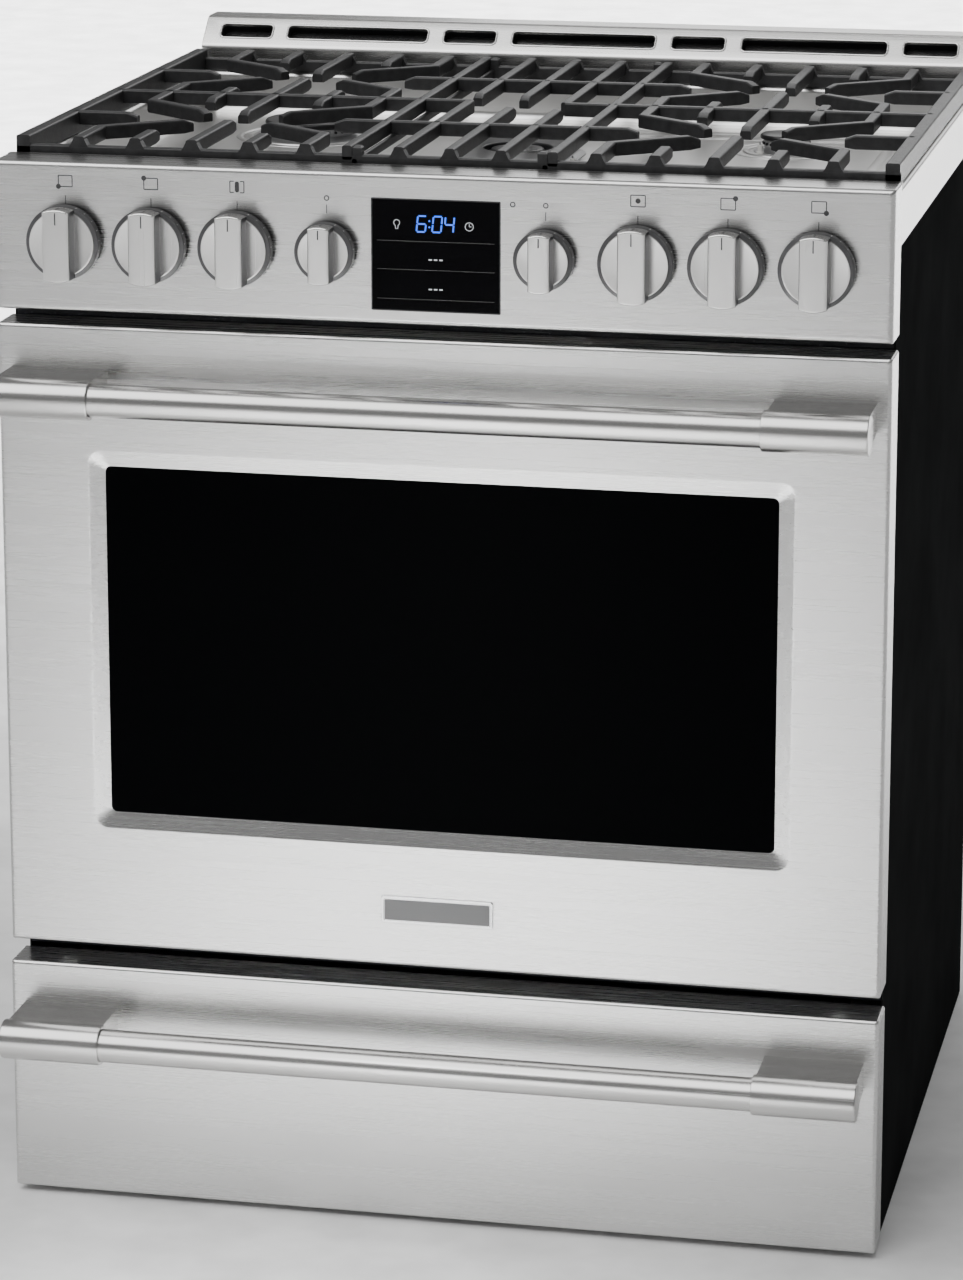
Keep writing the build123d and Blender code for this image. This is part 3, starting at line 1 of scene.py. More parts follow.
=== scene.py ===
"""Looks of a freestanding gas range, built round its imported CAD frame.

X runs to the right of someone facing the range, Y to its back, Z up, in metres.
Sizes in the classes below are in millimetres and pass through mm() once.
"""
import logging
from dataclasses import dataclass, field
from enum import Enum
from math import asin, cos, pi, radians, sin, sqrt, tau
from typing import Callable, Sequence

import bmesh
import bpy
from mathutils import Matrix, Vector


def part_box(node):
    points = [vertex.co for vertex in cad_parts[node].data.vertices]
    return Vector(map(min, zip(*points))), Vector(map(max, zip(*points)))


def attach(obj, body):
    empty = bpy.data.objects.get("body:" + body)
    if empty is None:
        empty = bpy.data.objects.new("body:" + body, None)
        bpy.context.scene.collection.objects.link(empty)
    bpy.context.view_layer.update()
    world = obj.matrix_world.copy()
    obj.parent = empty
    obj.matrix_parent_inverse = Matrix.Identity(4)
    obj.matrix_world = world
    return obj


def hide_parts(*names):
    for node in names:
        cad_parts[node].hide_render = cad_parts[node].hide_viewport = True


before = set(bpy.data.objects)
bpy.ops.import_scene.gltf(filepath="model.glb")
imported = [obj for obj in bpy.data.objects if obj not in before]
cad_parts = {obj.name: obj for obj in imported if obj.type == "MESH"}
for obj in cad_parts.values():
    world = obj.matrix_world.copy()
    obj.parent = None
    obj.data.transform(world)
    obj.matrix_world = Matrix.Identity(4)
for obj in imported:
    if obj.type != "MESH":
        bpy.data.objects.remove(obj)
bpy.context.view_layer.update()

LOG = logging.getLogger("gas_range")
Point = tuple[float, float, float]
Flat = tuple[float, float]
Ring = list[Vector]
UP = Vector((0, 0, 1))
FRONT = Vector((0, -1, 0))


def mm(value: float) -> float:
    """Millimetres as metres."""
    return value * 0.001


class Body(str, Enum):
    """The moving groups that several pieces ride on."""

    CABINET = "cabinet"
    DOOR = "door"
    DRAWER = "drawer"


class Along(Enum):
    """Direction that a metal's brushing runs in."""

    X = (5.0, 620.0, 620.0)
    Z = (620.0, 620.0, 5.0)
    NONE = (90.0, 90.0, 90.0)


# ------------------------------------------------------------------ shader graph
class Wire:
    """One output socket of a shader graph, with arithmetic on it."""

    def __init__(self, graph: "Graph", socket: bpy.types.NodeSocket) -> None:
        """Keep the graph that the socket belongs to."""
        self.graph = graph
        self.socket = socket

    def __add__(self, other: "Wire | float") -> "Wire":
        """This value plus another."""
        return self.graph.maths("ADD", self, other)

    def __rsub__(self, other: float) -> "Wire":
        """Another value less this one."""
        return self.graph.maths("SUBTRACT", other, self)

    def __mul__(self, other: "Wire | float") -> "Wire":
        """This value times another."""
        return self.graph.maths("MULTIPLY", self, other)

    __radd__ = __add__
    __rmul__ = __mul__

    def ramp(self, low: float, high: float) -> "Wire":
        """This value, spread from 0 at low to 1 at high.

        Args:
            low: value that becomes 0.
            high: value that becomes 1.

        Returns:
            The clamped value.
        """
        made = self.graph.add("ShaderNodeMapRange", {"clamp": True}, {0: self, 1: low, 2: high})
        return Wire(self.graph, made.outputs[0])


class Graph:
    """A material's node tree and the one way that nodes are added to it."""

    def __init__(self, name: str) -> None:
        """Make an empty material.

        Args:
            name: name of the material.
        """
        self.material = bpy.data.materials.new(name)
        self.material.use_nodes = True
        self.tree = self.material.node_tree
        self.tree.nodes.clear()

    def add(self, kind: str, settings: dict | None = None, inputs: dict | None = None) -> bpy.types.Node:
        """Add one node.

        Args:
            kind: the node's type name.
            settings: properties that are set before its sockets.
            inputs: values or wires by socket name or number.

        Returns:
            The new node.
        """
        node = self.tree.nodes.new(kind)
        for key, value in (settings or {}).items():
            setattr(node, key, value)
        for key, value in (inputs or {}).items():
            if isinstance(value, Wire):
                self.tree.links.new(value.socket, node.inputs[key])
            else:
                node.inputs[key].default_value = value
        return node

    def maths(self, operation: str, a: "Wire | float", b: "Wire | float") -> Wire:
        """Add a Math node.

        Args:
            operation: name of the operation.
            a: first value.
            b: second value.

        Returns:
            The result.
        """
        return Wire(self, self.add("ShaderNodeMath", {"operation": operation}, {0: a, 1: b}).outputs[0])

    def place(self, scale: Point = (1.0, 1.0, 1.0)) -> Wire:
        """Object coordinates, stretched.

        Args:
            scale: factor along each axis.

        Returns:
            The coordinates.
        """
        if not hasattr(self, "coordinates"):
            self.coordinates = Wire(self, self.add("ShaderNodeTexCoord").outputs["Object"])
        made = self.add("ShaderNodeMapping", {"vector_type": "POINT"}, {0: self.coordinates, 3: scale})
        return Wire(self, made.outputs[0])

    def noise(self, scale: Point, detail: float = 2.0, roughness: float = 0.5) -> Wire:
        """Fractal noise on object coordinates, about 0.5.

        Args:
            scale: features per metre along each axis.
            detail: octaves.
            roughness: weight of the finer octaves.

        Returns:
            The noise value.
        """
        sockets = {"Vector": self.place(scale), "Scale": 1.0, "Detail": detail, "Roughness": roughness}
        return Wire(self, self.add("ShaderNodeTexNoise", {}, sockets).outputs[0])

    def cells(self, scale: float) -> Wire:
        """Distance to the nearest of scattered points.

        Args:
            scale: cells per metre.

        Returns:
            The distance, in cells.
        """
        sockets = {"Vector": self.place(), "Scale": scale}
        return Wire(self, self.add("ShaderNodeTexVoronoi", {}, sockets).outputs["Distance"])

    def blend(self, amount: Wire, low: Point, high: Point) -> Wire:
        """Mix two colours.

        Args:
            amount: 0 for low and 1 for high.
            low: first colour.
            high: second colour.

        Returns:
            The mixed colour.
        """
        sockets = {0: amount, 6: (*low, 1.0), 7: (*high, 1.0)}
        return Wire(self, self.add("ShaderNodeMix", {"data_type": "RGBA"}, sockets).outputs[2])

    def bump(self, height: Wire, distance: float, strength: float = 1.0) -> Wire:
        """A normal tilted by a height.

        Args:
            height: height from 0 to 1.
            distance: depth of the relief in metres.
            strength: share of the effect.

        Returns:
            The normal.
        """
        sockets = {"Height": height, "Distance": distance, "Strength": strength}
        return Wire(self, self.add("ShaderNodeBump", {}, sockets).outputs[0])

    def surface(self, **inputs: "Wire | float | Point") -> bpy.types.Material:
        """Close the graph with a Principled shader.

        Args:
            inputs: its sockets, with underscores for spaces.

        Returns:
            The finished material.
        """
        sockets = {key.replace("_", " "): value for key, value in inputs.items()}
        shader = self.add("ShaderNodeBsdfPrincipled", {}, sockets)
        output = self.add("ShaderNodeOutputMaterial")
        self.tree.links.new(shader.outputs[0], output.inputs[0])
        return self.material


def scaled(colour: Point, factor: float) -> Point:
    """A colour made lighter or darker."""
    return tuple(min(1.0, channel * factor) for channel in colour)


# ------------------------------------------------------------------ finishes
@dataclass(frozen=True)
class BrushedMetal:
    """Sheet or bar with a directional satin finish."""

    name: str
    colour: Point = (0.66, 0.655, 0.645)
    roughness: float = 0.30
    along: Along = Along.X
    streak: float = 0.03
    relief: float = 0.000007

    def make(self) -> bpy.types.Material:
        """Build the material."""
        g = Graph(self.name)
        fine = g.noise(self.along.value, 3.0, 0.65)
        coarse = g.noise(tuple(0.22 * s for s in self.along.value), 2.0, 0.5)
        cloud = g.noise((3.0, 3.0, 3.0), 2.0, 0.5)
        grain = fine * 0.6 + coarse * 0.4
        low = scaled(self.colour, 1.0 - self.streak)
        high = scaled(self.colour, 1.0 + self.streak)
        return g.surface(
            Base_Color=g.blend(grain.ramp(0.3, 0.7), low, high),
            Metallic=1.0,
            Roughness=grain.ramp(0.25, 0.75) * 0.09 + cloud * 0.05 + (self.roughness - 0.07),
            Normal=g.bump(grain, self.relief, 0.7),
        )


@dataclass(frozen=True)
class Plating:
    """Bright or satin plated metal with faint marks."""

    name: str
    colour: Point = (0.78, 0.78, 0.79)
    roughness: float = 0.14

    def make(self) -> bpy.types.Material:
        """Build the material."""
        g = Graph(self.name)
        smear = g.noise((35.0, 35.0, 35.0), 4.0, 0.6)
        return g.surface(
            Base_Color=g.blend(smear, scaled(self.colour, 0.93), scaled(self.colour, 1.03)),
            Metallic=1.0,
            Roughness=smear.ramp(0.35, 0.75) * 0.08 + self.roughness,
            Normal=g.bump(smear, 0.00002, 0.4),
        )


@dataclass(frozen=True)
class Coating:
    """Paint, plastic or enamel over a smooth or grainy base."""

    name: str
    colour: Point
    roughness: float = 0.4
    grain: float = 700.0
    relief: float = 0.00003
    contrast: float = 0.15
    gloss: float = 0.5
    coat: float = 0.0

    def make(self) -> bpy.types.Material:
        """Build the material."""
        g = Graph(self.name)
        peel = g.noise((self.grain, self.grain, self.grain), 2.0, 0.55)
        dust = g.noise((9.0, 9.0, 9.0), 3.0, 0.6)
        low = scaled(self.colour, 1.0 - self.contrast)
        high = scaled(self.colour, 1.0 + self.contrast)
        return g.surface(
            Base_Color=g.blend(dust.ramp(0.3, 0.7), low, high),
            Roughness=dust.ramp(0.3, 0.7) * 0.08 + (self.roughness - 0.04),
            Specular_IOR_Level=self.gloss,
            Coat_Weight=self.coat,
            Coat_Roughness=0.12,
            Normal=g.bump(peel, self.relief, 0.6),
        )


@dataclass(frozen=True)
class CastIron:
    """Cast iron under a thin matt enamel."""

    name: str
    colour: Point = (0.022, 0.022, 0.023)
    roughness: float = 0.42

    def make(self) -> bpy.types.Material:
        """Build the material."""
        g = Graph(self.name)
        sand = g.noise((900.0, 900.0, 900.0), 3.0, 0.7)
        lumps = g.noise((120.0, 120.0, 120.0), 3.0, 0.6)
        height = sand * 0.45 + lumps * 0.55
        return g.surface(
            Base_Color=g.blend(lumps.ramp(0.3, 0.75), scaled(self.colour, 0.7), scaled(self.colour, 1.7)),
            Roughness=sand.ramp(0.3, 0.7) * 0.16 + (self.roughness - 0.05),
            Specular_IOR_Level=0.55,
            Normal=g.bump(height, 0.00028, 0.8),
        )


@dataclass(frozen=True)
class SpeckledEnamel:
    """Porcelain enamel with light flecks."""

    name: str
    colour: Point = (0.018, 0.019, 0.024)

    def make(self) -> bpy.types.Material:
        """Build the material."""
        g = Graph(self.name)
        fleck = 1.0 - g.cells(420.0).ramp(0.10, 0.16)
        rare = g.noise((150.0, 150.0, 150.0), 1.0).ramp(0.52, 0.56)
        wave = g.noise((40.0, 40.0, 40.0), 2.0)
        return g.surface(
            Base_Color=g.blend(fleck * rare, self.colour, (0.34, 0.36, 0.4)),
            Roughness=wave * 0.08 + 0.12,
            Normal=g.bump(wave, 0.00015, 0.5),
        )


@dataclass(frozen=True)
class DarkGlass:
    """Back-painted or clear glass with faint wipe marks."""

    name: str
    colour: Point
    gloss: float
    alpha: float = 1.0

    def make(self) -> bpy.types.Material:
        """Build the material."""
        g = Graph(self.name)
        wipe = g.noise((14.0, 14.0, 3.0), 4.0, 0.65)
        dots = g.noise((1400.0, 1400.0, 1400.0), 1.0, 0.5)
        return g.surface(
            Base_Color=g.blend(dots.ramp(0.45, 0.75), self.colour, scaled(self.colour, 2.2)),
            Roughness=wipe.ramp(0.35, 0.75) * 0.05 + 0.05,
            Specular_IOR_Level=self.gloss,
            Alpha=self.alpha,
            Normal=g.bump(wipe, 0.00001, 0.2),
        )


@dataclass(frozen=True)
class Lit:
    """A glowing segment or icon of the display."""

    name: str
    colour: Point
    strength: float

    def make(self) -> bpy.types.Material:
        """Build the material."""
        g = Graph(self.name)
        glow = g.noise((800.0, 800.0, 800.0), 1.0)
        return g.surface(
            Base_Color=(0.01, 0.01, 0.01, 1.0),
            Roughness=0.4,
            Emission_Color=g.blend(glow, self.colour, scaled(self.colour, 1.15)),
            Emission_Strength=self.strength,
        )


@dataclass(frozen=True)
class Braid:
    """Woven fibre of the oven door seal."""

    name: str
    colour: Point = (0.11, 0.11, 0.115)

    def make(self) -> bpy.types.Material:
        """Build the material."""
        g = Graph(self.name)
        settings = {"wave_type": "BANDS", "bands_direction": "DIAGONAL"}
        sockets = {"Vector": g.place(), "Scale": 260.0, "Distortion": 3.0, "Detail": 2.0}
        strand = Wire(g, g.add("ShaderNodeTexWave", settings, sockets).outputs["Fac"])
        return g.surface(
            Base_Color=g.blend(strand, scaled(self.colour, 0.5), scaled(self.colour, 1.6)),
            Roughness=0.85,
            Normal=g.bump(strand, 0.0006, 0.9),
        )


FINISHES = {
    "steel_front": BrushedMetal("brushed_steel_front", (0.60, 0.598, 0.593), 0.27),
    # painted light: the top steel is a lighter copy of the front steel, standing in for the light that upward
    # faces catch
    "steel_top_painted_light": BrushedMetal("brushed_steel_top_painted_light", (0.72, 0.715, 0.705), 0.27, Along.X, 0.03),
    # painted light: the pan steel is a lighter copy of the front steel, standing in for the bright
    # reflections on the upward pan; its rougher satin is its own
    "steel_pan_painted_light": BrushedMetal("satin_steel_pan_painted_light", (0.80, 0.795, 0.785), 0.33, Along.X, 0.03),
    "steel_handle": BrushedMetal("brushed_steel_handle", (0.56, 0.555, 0.545), 0.24, Along.X, 0.06),
    "knob_face": BrushedMetal("brushed_knob_face", (0.72, 0.715, 0.705), 0.25, Along.Z, 0.025),
    "knob_skirt": Coating("knob_skirt", (0.06, 0.06, 0.062), 0.35, 500.0, 0.00001, 0.1, 0.6),
    # painted shade: darker plating for the knob grip's side faces, standing in for the shade on them
    "knob_side": Plating("dark_knob_side_painted_shade", (0.17, 0.17, 0.175), 0.32),
    "mark_white": Coating("printed_light_marks", (0.78, 0.78, 0.77), 0.5, 900.0, 0.000004),
    "mark_dark": Coating("printed_dark_marks", (0.035, 0.035, 0.037), 0.5, 900.0, 0.000004),
    "side_paint": Coating("black_side_paint", (0.017, 0.0176, 0.0178), 0.6, 850.0, 0.00006, 0.2, 0.0),
    "zinc": Coating("coated_sheet", (0.42, 0.43, 0.435), 0.42, 60.0, 0.00004, 0.1, 0.6),
    "enamel": SpeckledEnamel("oven_enamel"),
    # real black trim round the display, and painted shade in the flame ports and the vent slot insides
    "black_trim_and_painted_hole_shade": Coating("black_trim_and_painted_hole_shade", (0.012, 0.012, 0.013), 0.5, 500.0, 0.00003),
    "window": DarkGlass("black_window_glass", (0.0012, 0.0013, 0.0015), 0.002),
    "display": DarkGlass("black_display_glass", (0.002, 0.002, 0.0024), 0.03),
    "clear": DarkGlass("clear_oven_glass", (0.05, 0.055, 0.055), 0.5, 0.55),
    "braid": Braid("door_seal_braid"),
    "tube": Plating("plain_steel", (0.5, 0.5, 0.5), 0.34),
    "chrome": Plating("bright_plating"),
    "badge": Plating("satin_badge_plate", (0.74, 0.74, 0.75), 0.22),
    "lamp": DarkGlass("lamp_cover", (0.6, 0.58, 0.5), 0.5, 0.75),
    "brass": Plating("machined_brass", (0.72, 0.56, 0.3), 0.28),
    "cast": CastIron("cast_grate_iron"),
    "cap": Coating("burner_cap_enamel", (0.014, 0.014, 0.015), 0.30, 420.0, 0.00010, 0.3, 0.5),
    "head": Plating("cast_burner_head", (0.62, 0.62, 0.625), 0.36),
    "ceramic": Coating("igniter_ceramic", (0.82, 0.81, 0.78), 0.3, 300.0, 0.00003),
    "floor": Coating("studio_floor_paint", (0.93, 0.93, 0.93), 0.7, 30.0, 0.00002),
    "blue_light": Lit("display_blue", (0.02, 0.13, 1.0), 2.4),
    "white_light": Lit("display_white", (0.85, 0.9, 1.0), 0.9),
}
_made: dict[str, bpy.types.Material] = {}


def finish(key: str) -> bpy.types.Material:
    """The material of one finish, made once."""
    if key not in _made:
        _made[key] = FINISHES[key].make()
    return _made[key]


# ------------------------------------------------------------------ mesh making
class Shape:
    """A mesh under construction, turned into one piece at the end."""

    def __init__(self) -> None:
        """Start empty."""
        self.bm = bmesh.new()

    def stack(self, rings: Sequence[Ring], closed: bool = False) -> "Shape":
        """Join rings of equal length into a skin.

        Args:
            rings: the rings, in order.
            closed: join the last ring to the first, instead of capping both.

        Returns:
            This shape.
        """
        rows = [[self.bm.verts.new(p) for p in ring] for ring in rings]
        pairs = list(zip(rows, rows[1:]))
        if closed:
            pairs.append((rows[-1], rows[0]))
        for low, high in pairs:
            for i, vert in enumerate(low):
                j = (i + 1) % len(low)
                self.bm.faces.new((vert, low[j], high[j], high[i]))
        if not closed:
            self.bm.faces.new(list(reversed(rows[0])))
            self.bm.faces.new(rows[-1])
        return self

    def box(self, low: Point, high: Point, bevel: float = 0.0, segments: int = 2) -> "Shape":
        """Add a block with rounded edges.

        Args:
            low: lowest corner in metres.
            high: highest corner in metres.
            bevel: radius of the edges in metres.
            segments: facets across each edge.

        Returns:
            This shape.
        """
        size = Vector(high) - Vector(low)
        centre = (Vector(high) + Vector(low)) / 2
        matrix = Matrix.Translation(centre) @ Matrix.Diagonal((*size, 1.0))
        made = bmesh.ops.create_cube(self.bm, size=1.0, matrix=matrix)
        if bevel:
            edges = list({e for v in made["verts"] for e in v.link_edges})
            bmesh.ops.bevel(self.bm, geom=edges, offset=bevel, segments=segments, profile=0.5, affect="EDGES")
        return self

    def lathe(self, profile: Sequence[Flat], centre: Point, axis: Point, steps: int = 64) -> "Shape":
        """Turn a profile about an axis.

        Args:
            profile: (radius, distance along the axis) points, both ends on the axis or capped.
            centre: point on the axis, in metres.
            axis: direction of the axis.
            steps: facets around.

        Returns:
            This shape.
        """
        turn = Vector(axis).to_track_quat("Z", "Y").to_matrix()
        rings = []
        for radius, along in profile:
            ring = []
            for i in range(steps):
                angle = tau * i / steps
                flat = Vector((radius * cos(angle), radius * sin(angle), along))
                ring.append(turn @ flat + Vector(centre))
            rings.append(ring)
        return self.stack(rings)

    def tube(self, path: Sequence[Vector], radius: float, closed: bool = True, sides: int = 8) -> "Shape":
        """Sweep a round along a path.

        Args:
            path: points of the path.
            radius: radius in metres.
            closed: whether the path returns to its start.
            sides: facets around.

        Returns:
            This shape.
        """
        count = len(path)
        rings = []
        for i, point in enumerate(path):
            before = path[i - 1] if closed or i else point
            after = path[(i + 1) % count] if closed or i < count - 1 else point
            run = (after - before).normalized()
            side = run.cross(Vector((0.0, 0.3, 1.0))).normalized()
            up = side.cross(run)
            ring = [point + side * radius * cos(tau * k / sides) + up * radius * sin(tau * k / sides)
                    for k in range(sides)]
            rings.append(ring)
        return self.stack(rings, closed)

    def strip(self, start: Vector, end: Vector, width: float, thick: float, facing: Vector) -> "Shape":
        """Add a straight flat bar.

        Args:
            start: middle of its first end.
            end: middle of its last end.
            width: width across, in metres.
            thick: height along facing, in metres.
            facing: direction that its face looks in.

        Returns:
            This shape.
        """
        run = (end - start).normalized()
        up = facing.normalized() * thick / 2
        side = run.cross(facing).normalized() * width / 2
        ends = ([point + side - up, point - side - up, point - side + up, point + side + up]
                for point in (start, end))
        return self.stack(list(ends))

    def piece(self, name: str, key: str, slot: str, body: str, *nodes: str,
              smooth: float = 32.0) -> bpy.types.Object:
        """Close the shape into a piece of the range.

        Args:
            name: name of the piece.
            key: its finish.
            slot: the record's material slot.
            body: the body it rides on.
            nodes: CAD nodes that it stands for.
            smooth: largest angle in degrees that is shaded smooth.

        Returns:
            The piece.
        """
        made = self.raw(name)
        shade(made, smooth)
        made.data.materials.append(finish(key))
        return register(made, slot, body, *nodes)

    def raw(self, name: str) -> bpy.types.Object:
        """Close the shape into an object that isn't a piece yet."""
        bmesh.ops.remove_doubles(self.bm, verts=self.bm.verts, dist=mm(0.005))
        bmesh.ops.recalc_face_normals(self.bm, faces=self.bm.faces)
        mesh = bpy.data.meshes.new(name)
        self.bm.to_mesh(mesh)
        self.bm.free()
        made = bpy.data.objects.new(name, mesh)
        bpy.context.scene.collection.objects.link(made)
        return made


def shade(piece: bpy.types.Object, smooth: float) -> None:
    """Shade an object smooth, apart from edges sharper than an angle in degrees."""
    for polygon in piece.data.polygons:
        polygon.use_smooth = True
    piece.data.set_sharp_from_angle(angle=radians(smooth))
    weight = piece.modifiers.new("Weight", "WEIGHTED_NORMAL")
    weight.keep_sharp = True
    weight.weight = 80
    baked(piece)


def carve(piece: bpy.types.Object, cutter: bpy.types.Object) -> None:
    """Cut one object out of another and remove the cutter."""
    cut = piece.modifiers.new("Cut", "BOOLEAN")
    cut.operation = "DIFFERENCE"
    cut.solver = "EXACT"
    cut.object = cutter
    baked(piece)
    bpy.data.objects.remove(cutter)


def register(piece: bpy.types.Object, slot: str, body: str, *nodes: str) -> bpy.types.Object:
    """Give a piece its body and hide the nodes it replaces.

    Args:
        piece: the finished object.
        slot: not used.
        body: the body it rides on.
        nodes: CAD nodes that it stands for.

    Returns:
        The piece.
    """
    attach(piece, str(getattr(body, "value", body)))
    if nodes:
        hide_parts(*nodes)
    LOG.info("piece %s on %s, %d faces", piece.name, body, len(piece.data.polygons))
    return piece


def dress(key: str, *nodes: str) -> None:
    """Give CAD nodes a finish.

    Args:
        key: the finish.
        nodes: CAD nodes that stay shown.
    """
    for node in nodes:
        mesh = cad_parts[node].data
        mesh.materials.clear()
        mesh.materials.append(finish(key))
        LOG.info("node %s dressed with %s", node, key)


def rounded_ring(half: Flat, centre: Flat, corner: float, place: Callable[[float, float], Vector],
                 steps: int = 6) -> Ring:
    """A rectangle with round corners.

    Args:
        half: half the width and half the height.
        centre: middle of the rectangle.
        corner: corner radius.
        place: turns a flat point into one in space.
        steps: facets in each corner.

    Returns:
        The points, anticlockwise.
    """
    corner = max(min(corner, half[0], half[1]), 1e-6)
    ring = []
    for quarter, (sx, sy) in enumerate(((1, 1), (-1, 1), (-1, -1), (1, -1))):
        cx = centre[0] + sx * (half[0] - corner)
        cy = centre[1] + sy * (half[1] - corner)
        for i in range(steps + 1):
            angle = pi / 2 * (quarter + i / steps)
            ring.append(place(cx + corner * cos(angle), cy + corner * sin(angle)))
    return ring


def quarter_steps(radius: float, steps: int = 5) -> list[Flat]:
    """Inset and rise of a rounded edge, from its start to its end."""
    angles = [pi / 2 * i / steps for i in range(steps + 1)]
    return [(radius * (1 - cos(angle)), radius * sin(angle)) for angle in angles]


def rectangle(x: float, y: float, half: float, deep: float, z: float) -> Ring:
    """A level rectangle round a point."""
    return [Vector((x + sx * half, y + sy * deep, z)) for sx, sy in ((-1, -1), (1, -1), (1, 1), (-1, 1))]


def upright_circle(centre: Vector, radius: float, steps: int) -> Ring:
    """A circle that faces the front."""
    turns = [tau * i / steps for i in range(steps)]
    return [centre + Vector((radius * cos(turn), 0, radius * sin(turn))) for turn in turns]


def baked(piece: bpy.types.Object) -> bpy.types.Object:
    """Turn an object's modifiers into plain mesh."""
    graph = bpy.context.evaluated_depsgraph_get()
    mesh = bpy.data.meshes.new_from_object(piece.evaluated_get(graph))
    piece.modifiers.clear()
    piece.data = mesh
    return piece


# ------------------------------------------------------------------ repeated detail
class Repeater:
    """Geometry Nodes tree that copies one shape to marked points."""

    def __init__(self, name: str) -> None:
        """Build the tree.

        Args:
            name: name of the tree.
        """
        tree = bpy.data.node_groups.new(name, "GeometryNodeTree")
        face = tree.interface
        face.new_socket("Geometry", in_out="INPUT", socket_type="NodeSocketGeometry")
        self.radius = face.new_socket("Radius", in_out="INPUT", socket_type="NodeSocketFloat").identifier
        self.height = face.new_socket("Height", in_out="INPUT", socket_type="NodeSocketFloat").identifier
        self.sides = face.new_socket("Sides", in_out="INPUT", socket_type="NodeSocketInt").identifier
        self.finish = face.new_socket("Finish", in_out="INPUT", socket_type="NodeSocketMaterial").identifier
        face.new_socket("Geometry", in_out="OUTPUT", socket_type="NodeSocketGeometry")
        nodes, links = tree.nodes, tree.links
        source = nodes.new("NodeGroupInput")
        drain = nodes.new("NodeGroupOutput")
        stud = nodes.new("GeometryNodeMeshCylinder")
        links.new(source.outputs["Radius"], stud.inputs["Radius"])
        links.new(source.outputs["Height"], stud.inputs["Depth"])
        links.new(source.outputs["Sides"], stud.inputs["Vertices"])
        points = nodes.new("GeometryNodeMeshToPoints")
        links.new(source.outputs["Geometry"], points.inputs["Mesh"])
        normal = nodes.new("GeometryNodeInputNamedAttribute")
        normal.data_type = "FLOAT_VECTOR"
        normal.inputs["Name"].default_value = "facing"
        align = nodes.new("FunctionNodeAlignRotationToVector")
        align.axis = "Z"
        links.new(normal.outputs[0], align.inputs["Vector"])
        copies = nodes.new("GeometryNodeInstanceOnPoints")
        links.new(points.outputs[0], copies.inputs["Points"])
        links.new(stud.outputs["Mesh"], copies.inputs["Instance"])
        links.new(align.outputs[0], copies.inputs["Rotation"])
        real = nodes.new("GeometryNodeRealizeInstances")
        links.new(copies.outputs[0], real.inputs[0])
        paint = nodes.new("GeometryNodeSetMaterial")
        links.new(real.outputs[0], paint.inputs["Geometry"])
        links.new(source.outputs["Finish"], paint.inputs["Material"])
        links.new(paint.outputs[0], drain.inputs[0])
        self.tree = tree

    def spread(self, name: str, places: Sequence[tuple[Point, Point]], radius: float, height: float,
               sides: int, key: str, slot: str, body: str) -> bpy.types.Object:
        """Copy a stud to each place.

        Args:
            name: name of the piece.
            places: (point, direction that the stud faces), in metres.
            radius: radius of the stud in metres.
            height: its height in metres.
            sides: facets around it.
            key: its finish.
            slot: the record's material slot.
            body: the body it rides on.

        Returns:
            One plain mesh piece.
        """
        mesh = bpy.data.meshes.new(name)
        mesh.from_pydata([place for place, _ in places], [], [])
        facing = mesh.attributes.new("facing", "FLOAT_VECTOR", "POINT")
        for item, (_, direction) in zip(facing.data, places):
            item.vector = direction
        piece = bpy.data.objects.new(name, mesh)
        bpy.context.scene.collection.objects.link(piece)
        modifier = piece.modifiers.new("Studs", "NODES")
        modifier.node_group = self.tree
        modifier[self.radius] = radius
        modifier[self.height] = height
        modifier[self.sides] = sides
        modifier[self.finish] = finish(key)
        baked(piece)
        return register(piece, slot, body)


